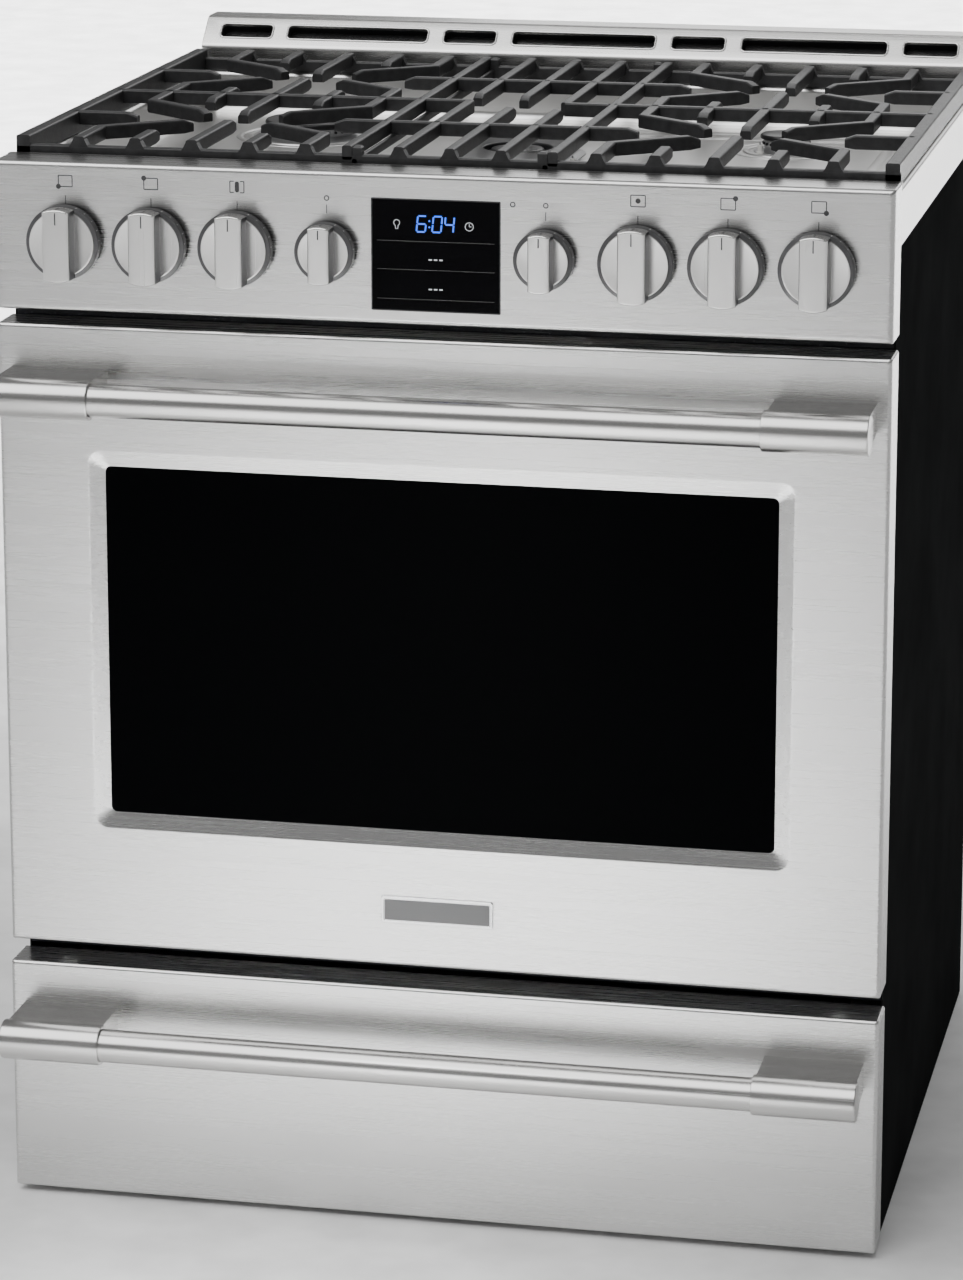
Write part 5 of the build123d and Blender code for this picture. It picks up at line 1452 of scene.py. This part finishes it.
@dataclass
class Burners:
    """Five burners: heads with flame ports, caps and igniters."""

    repeater: Repeater
    places: tuple[BurnerPlace, ...] = (
        BurnerPlace("front_left", 4.0, 28), BurnerPlace("back_left", 9.0, 36),
        BurnerPlace("front_right", 5.0, 32), BurnerPlace("back_right", 3.0, 22),
    )
    cap_dome: float = 0.8

    def build(self) -> None:
        """Make every burner."""
        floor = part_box("igniters")[0].z
        ports: list[tuple[Point, Point]] = []
        first = True
        for place in self.places:
            node = "burner_cap_" + place.label
            low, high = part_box(node)
            radius = (high.x - low.x) / 2
            centre = Vector(((low.x + high.x) / 2, (low.y + high.y) / 2, 0))
            self.head(place, centre, radius, floor, low.z, first)
            first = False
            self.cap(node, "cap_" + place.label, centre, radius, low.z, high.z)
            for i in range(place.teeth):
                angle = tau * (i + 0.5) / place.teeth
                out = Vector((cos(angle), sin(angle), 0))
                spot = centre + out * (radius - mm(2.6)) + Vector((0, 0, low.z - mm(4.2)))
                ports.append((tuple(spot), tuple(out)))
        self.oval(floor, ports)
        # painted shade: black studs at the flame ports stand in for the shade inside the port holes
        self.repeater.spread("flame_ports_painted_shade", ports, mm(1.3), mm(1.4), 8, "black_trim_and_painted_hole_shade", "head_aluminium",
                             Body.CABINET)
        self.igniters()

    def head(self, place: BurnerPlace, centre: Vector, radius: float, floor: float, top: float,
             first: bool) -> None:
        """Make one burner head.

        Args:
            place: its place and bowl.
            centre: its axis.
            radius: radius of its cap.
            floor: height of the pan's floor.
            top: underside of the cap.
            first: whether it stands for the CAD heads.
        """
        wide = radius + mm(place.bowl)
        profile = [
            (radius - mm(3), floor - mm(1)), (wide + mm(3), floor - mm(1)), (wide + mm(3), floor + mm(0.8)),
            (wide + mm(1), floor + mm(1.8)), (radius - mm(1), floor + mm(2.4)),
            (radius - mm(4), floor + mm(4)), (radius - mm(3.2), floor + mm(5.5)),
            (radius - mm(3), top - mm(1.2)), (radius - mm(4), top - mm(0.4)), (mm(8), top - mm(0.4)),
        ]
        shape = Shape().lathe(profile, centre, (0, 0, 1), 72)
        nodes = ("burner_heads",) if first else ()
        shape.piece("head_" + place.label, "head", "head_aluminium", Body.CABINET, *nodes)

    def cap(self, node: str, body: str, centre: Vector, radius: float, low: float, high: float) -> None:
        """Make a round cap with a soft edge.

        Args:
            node: CAD node that it stands for.
            body: body it rides on.
            centre: its axis.
            radius: its radius.
            low: its underside.
            high: its top.
        """
        edge = mm(2.2)
        profile = [(radius - mm(3), low), (radius - mm(0.6), low), (radius, low + mm(0.6))]
        shoulder = high - mm(self.cap_dome) - edge
        profile += [(radius - inset, shoulder + rise) for inset, rise in quarter_steps(edge)]
        profile += [(radius * 0.72, high - mm(self.cap_dome) * 0.3), (radius * 0.4, high), (mm(0.5), high)]
        Shape().lathe(profile, centre, (0, 0, 1), 72).piece(node + "_lid", "cap", "cap_enamel", body, node)

    def oval(self, floor: float, ports: list[tuple[Point, Point]]) -> None:
        """Make the long centre burner.

        Args:
            floor: height of the pan's floor.
            ports: list of flame ports, which this adds to.
        """
        low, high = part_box("burner_cap_centre_oval")
        half = ((high.x - low.x) / 2, (high.y - low.y) / 2)
        centre = ((low.x + high.x) / 2, (low.y + high.y) / 2)
        hole = mm(30)
        edge = mm(2.0)

        def outer(inset: float, z: float) -> Ring:
            """A loop of the long outline."""
            size = (half[0] - inset, half[1] - inset)
            return rounded_ring(size, centre, size[0], lambda u, v: Vector((u, v, z)), 12)

        def inner(grow: float, z: float) -> Ring:
            """A loop of the round hole."""
            return rounded_ring((hole + grow,) * 2, centre, hole + grow, lambda u, v: Vector((u, v, z)), 12)

        rings = [outer(mm(0.5), low.z), outer(0.0, low.z + mm(0.5))]
        rings += [outer(inset, high.z - edge + rise) for inset, rise in quarter_steps(edge)]
        rings += [inner(edge - rise, high.z - inset) for inset, rise in quarter_steps(edge)]
        rings += [inner(0.0, low.z)]
        cap = Shape().stack(rings, closed=True)
        cap.piece("oval_cap", "cap", "cap_enamel", "cap_centre_oval", "burner_cap_centre_oval")
        base = [outer(mm(-3), floor - mm(1)), outer(mm(-3), floor + mm(1)), outer(mm(1), floor + mm(2.2)),
                outer(mm(3), floor + mm(4)), outer(mm(3), low.z - mm(0.4)), inner(mm(2), low.z - mm(0.4)),
                inner(mm(2), floor + mm(1.6)), inner(mm(2), floor - mm(1))]
        Shape().stack(base, closed=True).piece("oval_head", "head", "head_aluminium", Body.CABINET)
        axis = Vector((*centre, 0))
        plate = [(mm(2), floor - mm(1)), (hole + mm(3), floor - mm(1)), (hole + mm(3), floor + mm(1)),
                 (mm(24), floor + mm(1.4)), (mm(21.5), floor + mm(3)), (mm(21), low.z - mm(0.4)),
                 (mm(2), low.z - mm(0.4))]
        Shape().lathe(plate, axis, (0, 0, 1), 64).piece("centre_head", "head", "head_aluminium", Body.CABINET)
        self.cap("burner_cap_centre_round", "cap_centre_round", axis, mm(24), low.z, high.z)
        for i in range(24):
            angle = tau * (i + 0.5) / 24
            out = Vector((cos(angle), sin(angle), 0))
            ports.append((tuple(axis + out * mm(21.2) + Vector((0, 0, low.z - mm(4)))), tuple(out)))
        straight = half[1] - half[0]
        for side in (-1, 1):
            for i in range(14):
                y = centre[1] - straight + 2 * straight * (i + 0.5) / 14
                spot = (centre[0] + side * (half[0] - mm(2.8)), y, low.z - mm(4))
                ports.append((spot, (side, 0.0, 0.0)))
            for i in range(9):
                angle = pi * (i + 0.5) / 9 * side
                out = Vector((cos(angle), sin(angle), 0))
                spot = axis + Vector((0, side * straight, low.z - mm(4))) + out * (half[0] - mm(2.8))
                ports.append((tuple(spot), tuple(out)))

    def igniters(self) -> None:
        """Make the igniters: ceramic posts with a metal tip."""
        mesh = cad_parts["igniters"].data
        low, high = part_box("igniters")
        spots: list[Vector] = []
        for vertex in mesh.vertices:
            flat = Vector((vertex.co.x, vertex.co.y, 0))
            if all((flat - spot).length > mm(8) for spot in spots):
                spots.append(flat)
        posts, tips = Shape(), Shape()
        for spot in spots:
            near = [v.co for v in mesh.vertices if (Vector((v.co.x, v.co.y, 0)) - spot).length < mm(8)]
            centre = sum((Vector((c.x, c.y, 0)) for c in near), Vector()) / len(near)
            body = [(mm(3.4), low.z), (mm(3.4), low.z + mm(2)), (mm(2.4), low.z + mm(2.6)),
                    (mm(2.4), high.z - mm(3)), (mm(1.8), high.z - mm(2.4))]
            posts.lathe(body, centre, (0, 0, 1), 24)
            tip = [(mm(0.9), high.z - mm(2.6)), (mm(0.9), high.z - mm(0.3)), (mm(0.4), high.z)]
            tips.lathe(tip, centre, (0, 0, 1), 16)
        posts.piece("igniter_posts", "ceramic", "igniter_ceramic", Body.CABINET, "igniters")
        tips.piece("igniter_tips", "tube", "igniter_ceramic", Body.CABINET)


# ------------------------------------------------------------------ grates
@dataclass(frozen=True)
class Bar:
    """A cast bar along a plan path, with sloping tips where it ends free."""

    path: tuple[Flat, ...]
    width: float
    low: float
    high: float
    free_start: bool = False
    free_end: bool = False


@dataclass
class Casting:
    """The section shared by every cast bar."""

    shoulder: float = 1.8
    foot_shrink: float = 1.4
    tip_run: float = 9.0
    tip_drop: float = 3.2

    def add(self, shape: Shape, bar: Bar) -> None:
        """Sweep one bar.

        Args:
            shape: mesh to add to.
            bar: its path and section.
        """
        points = [Vector((x, y, 0)) for x, y in bar.path]
        points = self.with_tips(points, bar)
        rings = []
        for i, point in enumerate(points):
            back = (point - points[i - 1]).normalized() if i else (points[1] - point).normalized()
            ahead = (points[i + 1] - point).normalized() if i + 1 < len(points) else back
            run = (back + ahead).normalized()
            widen = 1 / max(run.dot(ahead), 0.5)
            side = Vector((-run.y, run.x, 0)) * widen
            drop = 0.0
            if (bar.free_start and i == 0) or (bar.free_end and i + 1 == len(points)):
                drop = mm(self.tip_drop)
            rings.append(self.section(point, side, bar, drop))
        shape.stack(rings)

    def with_tips(self, points: list[Vector], bar: Bar) -> list[Vector]:
        """Put in the point where each sloping tip starts."""
        run = mm(self.tip_run)
        if bar.free_end:
            points.insert(-1, points[-1] + (points[-2] - points[-1]).normalized() * run)
        if bar.free_start:
            points.insert(1, points[0] + (points[1] - points[0]).normalized() * run)
        return points

    def section(self, point: Vector, side: Vector, bar: Bar, drop: float) -> Ring:
        """One loop across a bar, with soft upper edges."""
        half, edge = bar.width / 2, mm(self.shoulder)
        top = bar.high - drop
        foot = half - mm(self.foot_shrink) / 2
        corners = [(-foot, bar.low + drop * 0.4), (-half, bar.low + mm(2))]
        corners += [(-half + inset, top - edge + rise) for inset, rise in quarter_steps(edge, 4)]
        corners += [(half - inset, top - edge + rise) for inset, rise in reversed(quarter_steps(edge, 4))]
        corners += [(half, bar.low + mm(2)), (foot, bar.low + drop * 0.4)]
        return [point + side * across + Vector((0, 0, z)) for across, z in corners]


@dataclass
class Grates:
    """Three cast grates over the pan."""

    casting: Casting = field(default_factory=Casting)
    finger: float = 9.5
    finger_height: float = 12.0
    end_rail: float = 9.0
    outer_rail: float = 12.0
    inner_rail: float = 8.5
    spacing: float = 49.3
    turn: float = 80.0
    tip: tuple[float, float] = (33.0, 27.0)
    short_tip: float = 86.0
    long_tip: float = 18.0
    bar_tip: float = 22.0
    stub: float = 43.0
    side_stub: float = 89.0

    def __post_init__(self) -> None:
        """Read the limits of the grates and burners."""
        low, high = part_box("grate_left")
        self.top, self.foot = high.z, low.z
        self.under = high.z - mm(self.finger_height)
        self.rail_top = low.z + mm(11.5)
        self.front, self.back = low.y, high.y
        self.middle = (low.y + high.y) / 2
        cap_low, cap_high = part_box("burner_cap_front_right")
        self.burner_x = (cap_low.x + cap_high.x) / 2
        self.burner_y = (cap_low.y + cap_high.y) / 2

    def build(self) -> None:
        """Make the three grates."""
        for side, name in ((-1, "grate_left"), (1, "grate_right")):
            self.side_grate(side, name)
        self.centre_grate()

    def finger_bar(self, path: list[Flat], start: bool = False, end: bool = False, width: float = 0.0) -> Bar:
        """A finger between the fingers' two heights."""
        return Bar(tuple(path), mm(width or self.finger), self.under, self.top, start, end)

    def side_grate(self, side: int, name: str) -> None:
        """Make an outer grate.

        Args:
            side: -1 for the left grate and 1 for the right.
            name: its CAD node.
        """
        low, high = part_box(name)
        outer = high.x if side > 0 else low.x
        seam = low.x if side > 0 else high.x
        shape = Shape()
        rail = outer - side * mm(self.outer_rail) / 2
        inner = seam + side * mm(self.inner_rail) / 2
        front, back = self.front, self.back
        shape_add = self.casting.add
        shape_add(shape, Bar(((rail, front), (rail, back)), mm(self.outer_rail), self.foot, self.top))
        shape_add(shape, Bar(((inner, front), (inner, back)), mm(self.inner_rail), self.under, self.top))
        half = mm(self.end_rail) / 2
        ends = (front + half, back - half)
        for y in ends:
            shape_add(shape, Bar(((seam, y), (outer, y)), mm(self.end_rail), self.foot, self.rail_top))
        centre = side * self.burner_x
        middle = self.middle
        shape_add(shape, self.finger_bar([(rail, middle), (inner, middle)]))
        for way in (-1, 1):
            burner = middle + way * (middle - self.burner_y)
            end = ends[0] if way < 0 else ends[1]
            edge = end + way * half * 0.9
            outer_tip = (centre, burner + way * mm(self.long_tip))
            inner_tip = (centre, burner - way * mm(self.bar_tip))
            shape_add(shape, self.finger_bar([(centre, edge), outer_tip], end=True))
            shape_add(shape, self.finger_bar([inner_tip, (centre, middle)], start=True))
            for hand in (-1, 1):
                far = centre + hand * mm(2 * self.spacing)
                near = centre + hand * mm(self.spacing)
                tip_x = centre + hand * mm(self.tip[0])
                turn = burner + way * mm(self.turn)
                path = [(far, edge), (far, turn), (tip_x, burner + way * mm(self.tip[1]))]
                shape_add(shape, self.finger_bar(path, end=True))
                turn = burner - way * mm(self.turn)
                path = [(tip_x, burner - way * mm(self.tip[1])), (far, turn), (far, middle)]
                shape_add(shape, self.finger_bar(path, start=True))
                short_tip = (near, burner + way * mm(self.short_tip))
                stub_tip = (near, middle + way * mm(self.stub))
                shape_add(shape, self.finger_bar([(near, edge), short_tip], end=True))
                shape_add(shape, self.finger_bar([stub_tip, (near, middle)], start=True))
                self.post(shape, near, end, way)
                self.post(shape, far, end, way)
            self.post(shape, centre, end, way)
            reach = centre + side * mm(self.side_stub)
            shape_add(shape, self.finger_bar([(rail, burner), (reach, burner)], end=True))
            reach = centre - side * mm(self.side_stub)
            shape_add(shape, self.finger_bar([(inner, burner), (reach, burner)], end=True))
            for x, width in ((rail, self.outer_rail), (inner, self.inner_rail)):
                self.corner(shape, x, end, mm(width))
        shape.piece(name + "_casting", "cast", "cast_grate", name + "_body", name, smooth=40.0)

    def post(self, shape: Shape, x: float, y: float, way: int, shrink: float = 1.0) -> None:
        """Join a finger to the low end rail with a flared foot.

        Args:
            shape: mesh to add to.
            x: middle of the finger.
            y: middle of the end rail.
            way: -1 at the front and 1 at the back.
            shrink: share of the finger's width.
        """
        half = mm(self.finger) / 2 * shrink
        deep = mm(self.end_rail) / 2 - mm(0.1)
        flare = mm(5.0)
        rings = []
        levels = ((self.foot, flare), (self.rail_top - mm(2), flare * 0.9),
                  (self.rail_top + mm(1), flare * 0.45), (self.top - mm(2.2), 0.0),
                  (self.top - mm(0.4), -mm(1.2)))
        for z, grow in levels:
            wide = half + grow
            rings.append(rectangle(x, y, wide, deep, z))
        shape.stack(rings)

    def corner(self, shape: Shape, x: float, y: float, width: float) -> None:
        """Make the tall block where two rails meet."""
        deep = mm(self.end_rail) / 2 - mm(0.05)
        half = width / 2 - mm(0.05)
        rings = []
        for z, grow in ((self.foot, 0.0), (self.top - mm(2), 0.0), (self.top - mm(0.2), -mm(1.6))):
            rings.append(rectangle(x, y, half + grow, deep + grow, z))
        shape.stack(rings)

    def centre_grate(self) -> None:
        """Make the middle grate, which looks the same turned half round."""
        low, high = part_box("grate_centre")
        width = 8.5
        edge, middle = high.x, self.middle
        shape = Shape()
        add = self.casting.add
        half = mm(self.end_rail) / 2
        finger_x = mm(43.5)
        for way in (-1, 1):
            end = (self.front + half) if way < 0 else (self.back - half)
            out = end + way * half * 0.9
            add(shape, Bar(((-edge, end), (edge, end)), mm(self.end_rail), self.foot, self.rail_top))
            burner = middle + way * (middle - self.burner_y)
            add(shape, self.finger_bar([(-edge, burner), (edge, burner)], width=width))
            joined = way * finger_x
            add(shape, self.finger_bar([(joined, out), (joined, middle)], width=width))
            add(shape, self.finger_bar([(joined, middle), (way * edge, middle)], width=width))
            add(shape, self.finger_bar([(0.0, out), (0.0, middle + way * mm(27))], end=True, width=width))
            inward = (-joined, middle + way * mm(32))
            add(shape, self.finger_bar([(-joined, out), inward], end=True, width=width))
            for x in (-finger_x, 0.0, finger_x):
                self.post(shape, x, end, way, 0.9)
            rib = way * (edge - mm(2))
            add(shape, Bar(((rib, self.front), (rib, self.back)), mm(4), self.foot, self.under + mm(1)))
            for hand in (-1, 1):
                self.corner(shape, hand * (edge - mm(4.2)), end, mm(8.2))
        shape.piece("grate_centre_casting", "cast", "cast_grate", "grate_centre_body", "grate_centre",
                    smooth=40.0)


# ------------------------------------------------------------------ vent riser
@dataclass
class VentRiser:
    """The raised rear trim, with a row of rimmed slots on its slope."""

    slots: tuple[tuple[float, float], ...] = ((0.0, 137.2), (111.0, 49.6), (222.0, 137.2), (332.3, 49.6))
    slot_height: float = 15.5
    corner: float = 3.5
    foot: float = 21.0
    run: float = 28.0
    rim: float = 2.2
    rim_rise: float = 0.9
    bend: float = 3.0
    lip: float = 7.0
    depth: float = 10.0

    def profile(self, low: Vector, high: Vector, inset: float) -> list[Flat]:
        """(y, z) points of the riser's outline, drawn in by inset.

        Args:
            low: lowest corner of the riser.
            high: highest corner of the riser.
            inset: distance inside, in metres.

        Returns:
            The outline from the front foot round to the back foot.
        """
        bend_z = low.z + mm(self.foot)
        crest_y = low.y + mm(self.run)
        slope = (Vector((crest_y, high.z)) - Vector((low.y, bend_z))).normalized()
        soft = mm(self.bend)
        bend = Vector((low.y, bend_z))
        crest = Vector((crest_y, high.z))
        points = [Vector((low.y, low.z)), bend - Vector((0, soft)),
                  bend + (slope - Vector((0, 1))) * soft * 0.25,
                  bend + slope * soft, crest - slope * soft, crest + (Vector((1, 0)) - slope) * soft * 0.25,
                  crest + Vector((soft, 0)), Vector((high.y, high.z)), Vector((high.y, low.z))]
        middle = Vector(((low.y + high.y) / 2, low.z + (high.z - low.z) * 0.4))
        outline = []
        for i, point in enumerate(points):
            pull = (middle - point).normalized() * inset if 0 < i < len(points) - 1 else Vector((0, 0))
            outline.append((point.x + pull.x, point.y + pull.y))
        return outline

    def build(self) -> None:
        """Make the riser, its slot rims and the dark insides of the slots, which are painted shade."""
        low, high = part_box("vent_riser")
        edge = mm(1.6)
        shape = Shape()
        rings = []
        for x, inset in ((low.x, edge), (low.x + edge * 0.3, edge * 0.3), (low.x + edge, 0.0),
                         (high.x - edge, 0.0), (high.x - edge * 0.3, edge * 0.3), (high.x, edge)):
            rings.append([Vector((x, y, z)) for y, z in self.profile(low, high, inset)])
        shape.stack(rings)
        riser = shape.raw("vent_riser_shell")
        start = Vector((0, low.y, low.z + mm(self.foot)))
        crest = Vector((0, low.y + mm(self.run), high.z))
        up = (crest - start).normalized()
        out = Vector((0, -up.z, up.y))
        centre = (start + crest) / 2
        rims, wells_painted_shade, cutters = Shape(), Shape(), Shape()
        for x, length in self.slots:
            for side in ((-1, 1) if x else (1,)):
                self.slot(rims, wells_painted_shade, cutters, centre + Vector((side * mm(x), 0, 0)), up, out, mm(length))
        carve(riser, cutters.raw("vent_slot_cutter"))
        shade(riser, 40.0)
        # painted light: the riser, its slot rims and its lip take the lighter top steel
        riser.data.materials.append(finish("steel_top_painted_light"))
        register(riser, "stainless", Body.CABINET, "vent_riser")
        rims.piece("vent_rims", "steel_top_painted_light", "stainless", Body.CABINET, smooth=60.0)
        # painted shade: the dark wells inside the slots stand in for the shade in their depth
        wells_painted_shade.piece("vent_wells_painted_shade", "black_trim_and_painted_hole_shade", "stainless", Body.CABINET)
        lip = Shape()
        lip.box((low.x + mm(1), low.y - mm(0.2), low.z + mm(self.lip)),
                (high.x - mm(1), low.y + mm(0.6), low.z + mm(self.lip + 1.1)), mm(0.3))
        lip.piece("vent_lip", "steel_top_painted_light", "stainless", Body.CABINET)

    def slot(self, rims: Shape, wells_painted_shade: Shape, cutters: Shape, centre: Vector, up: Vector, out: Vector,
             length: float) -> None:
        """Add one slot: its rolled rim, its dark well of painted shade and its cutter.

        Args:
            rims: mesh for the rims.
            wells_painted_shade: mesh for the dark insides, which are painted shade.
            cutters: mesh for the cut through the shell.
            centre: middle of the slot on the slope.
            up: direction up the slope.
            out: direction away from the slope.
            length: length of the slot.
        """
        half = (length / 2, mm(self.slot_height) / 2)

        def ring(grow: float, rise: float) -> Ring:
            """A loop round the slot, grown and raised."""
            size = (half[0] + grow, half[1] + grow)
            return rounded_ring(size, (0.0, 0.0), mm(self.corner) + grow,
                                lambda u, v: centre + Vector((u, 0, 0)) + up * v + out * rise, 5)

        rim, rise = mm(self.rim), mm(self.rim_rise)
        loops = [ring(rim, -mm(0.3))]
        for i in range(7):
            angle = pi * i / 6
            loops.append(ring(rim / 2 + rim / 2 * cos(angle), rise * sin(angle)))
        deep = mm(self.depth)
        loops += [ring(0.0, -deep * 0.25), ring(mm(0.6), -deep * 0.25), ring(mm(0.8), -mm(0.4))]
        rims.stack(loops, closed=True)
        # painted shade: a dark box inside each slot stands in for the shade in its depth
        lip = -mm(2.2)
        wells_painted_shade.stack([ring(mm(0.4), lip), ring(mm(0.4), -deep), ring(mm(1.4), -deep), ring(mm(1.4), lip)],
                    closed=True)
        wells_painted_shade.stack([ring(mm(1.0), -deep - mm(0.8)), ring(mm(1.0), -deep)])
        cutters.stack([ring(mm(0.5), -deep), ring(mm(0.5), mm(3))])


# ------------------------------------------------------------------ insides
@dataclass
class Insides:
    """Everything behind the fronts, in its own finish."""

    repeater: Repeater
    finishes: dict[str, tuple[str, ...]] = field(default_factory=lambda: {
        "enamel": ("oven_liner", "front_frame", "fan_cover"),
        "side_paint": ("side_panel_left", "side_panel_right"),
        "zinc": ("back_panel", "base_frame", "drawer_rails", "levelling_legs"),
        "braid": ("oven_gasket",),
        "tube": ("oven_burners", "hinge_arms", "fan_motor", "convection_fan"),
        "lamp": ("oven_lamp",),
        "brass": ("control_valves", "gas_manifold") + tuple(f"valve_stem_{i}" for i in range(1, 7)),
        "chrome": ("oven_rack_lower", "oven_rack_upper"),
    })
    screw_inset: float = 6.0
    screws: int = 7

    def build(self) -> None:
        """Dress the insides and screw on the back."""
        for key, nodes in self.finishes.items():
            dress(key, *nodes)
        low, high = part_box("back_panel")
        inset = mm(self.screw_inset)
        places = []
        for i in range(self.screws):
            z = low.z + mm(30) + (high.z - low.z - mm(60)) * i / (self.screws - 1)
            for x in (low.x + inset, high.x - inset):
                places.append(((x, high.y, z), (0.0, 1.0, 0.0)))
        for i in range(self.screws):
            x = low.x + mm(60) + (high.x - low.x - mm(120)) * i / (self.screws - 1)
            places.append(((x, high.y, high.z - mm(8)), (0.0, 1.0, 0.0)))
        self.repeater.spread("back_screws", places, mm(4.2), mm(1.4), 6, "zinc", "zinc_sheet", Body.CABINET)


# ------------------------------------------------------------------ studio
@dataclass
class Studio:
    """Floor, light and camera."""

    camera_at: Point = (0.8059, -3.8897, 1.5103)
    yaw: float = 12.048
    pitch: float = 12.633
    lens: float = 127.28
    sensor: float = 36.0
    shift: tuple[float, float] = (-0.0024, -0.15)
    floor_size: float = 40.0
    world: float = 0.24
    sun: float = 2.0
    sun_angle: float = 50.0
    sun_from: Point = (-0.55, -0.75, 1.5)

    def build(self) -> None:
        """Set the stage."""
        self.floor()
        self.sky()
        self.lights()
        self.camera()

    def floor(self) -> None:
        """Lay the pale floor."""
        half = self.floor_size
        shape = Shape()
        shape.stack([rectangle(0.0, 0.0, half, half, z) for z in (-mm(20), 0.0)])
        floor = shape.raw("studio_floor")
        floor.data.materials.append(finish("floor"))

    def sky(self) -> None:
        """Light the room evenly."""
        world = bpy.data.worlds.new("studio_world")
        bpy.context.scene.world = world
        world.use_nodes = True
        background = world.node_tree.nodes["Background"]
        background.inputs["Color"].default_value = (1.0, 1.0, 1.0, 1.0)
        background.inputs["Strength"].default_value = self.world

    def lights(self) -> None:
        """Hang the soft boxes."""
        boxes = (
            ("behind", (-1.0, 6.5, 8.0), (-1.0, 6.5, 0.0), (14.0, 8.0), 1500.0, 40.0),
            ("low_front", (-0.42, -2.4, 0.6), (-0.42, -2.4, 0.0), (0.25, 3.3), 50.0, 100.0),
            ("rear_fill", (0.3, 3.2, 2.4), (0.0, 0.2, 0.92), (2.4, 2.4), 30.0, 180.0),
        )
        for name, place, target, size, power, spread in boxes:
            data = bpy.data.lights.new("light_" + name, "AREA")
            data.shape = "RECTANGLE"
            data.size, data.size_y = size
            data.energy = power
            data.spread = radians(spread)
            lamp = bpy.data.objects.new("light_" + name, data)
            bpy.context.scene.collection.objects.link(lamp)
            lamp.location = place
            aim = Vector(target) - Vector(place)
            lamp.rotation_euler = aim.to_track_quat("-Z", "Y").to_euler()
            if name == "low_front":
                lamp.rotation_euler.rotate_axis("Z", -radians(self.yaw))
        data = bpy.data.lights.new("light_sky", "SUN")
        data.energy = self.sun
        data.angle = radians(self.sun_angle)
        lamp = bpy.data.objects.new("light_sky", data)
        bpy.context.scene.collection.objects.link(lamp)
        lamp.rotation_euler = (-Vector(self.sun_from)).to_track_quat("-Z", "Y").to_euler()

    def camera(self) -> None:
        """Place the camera."""
        data = bpy.data.cameras.new("camera")
        data.lens = self.lens
        data.sensor_width = self.sensor
        data.shift_x, data.shift_y = self.shift
        data.clip_end = 100.0
        data.dof.use_dof = False
        camera = bpy.data.objects.new("camera", data)
        bpy.context.scene.collection.objects.link(camera)
        camera.location = self.camera_at
        camera.rotation_euler = (radians(90.0 - self.pitch), 0.0, radians(self.yaw))
        bpy.context.scene.camera = camera


def main() -> None:
    """Build the whole range."""
    logging.basicConfig(level=logging.WARNING)
    repeater = Repeater("studs")
    for part in (ControlPanel(), OvenDoor(), StorageDrawer(), Cooktop(), Burners(repeater), Grates(),
                 VentRiser(), Insides(repeater), Studio()):
        part.build()
        LOG.info("built %s", type(part).__name__)


if __name__ == "__main__":
    main()
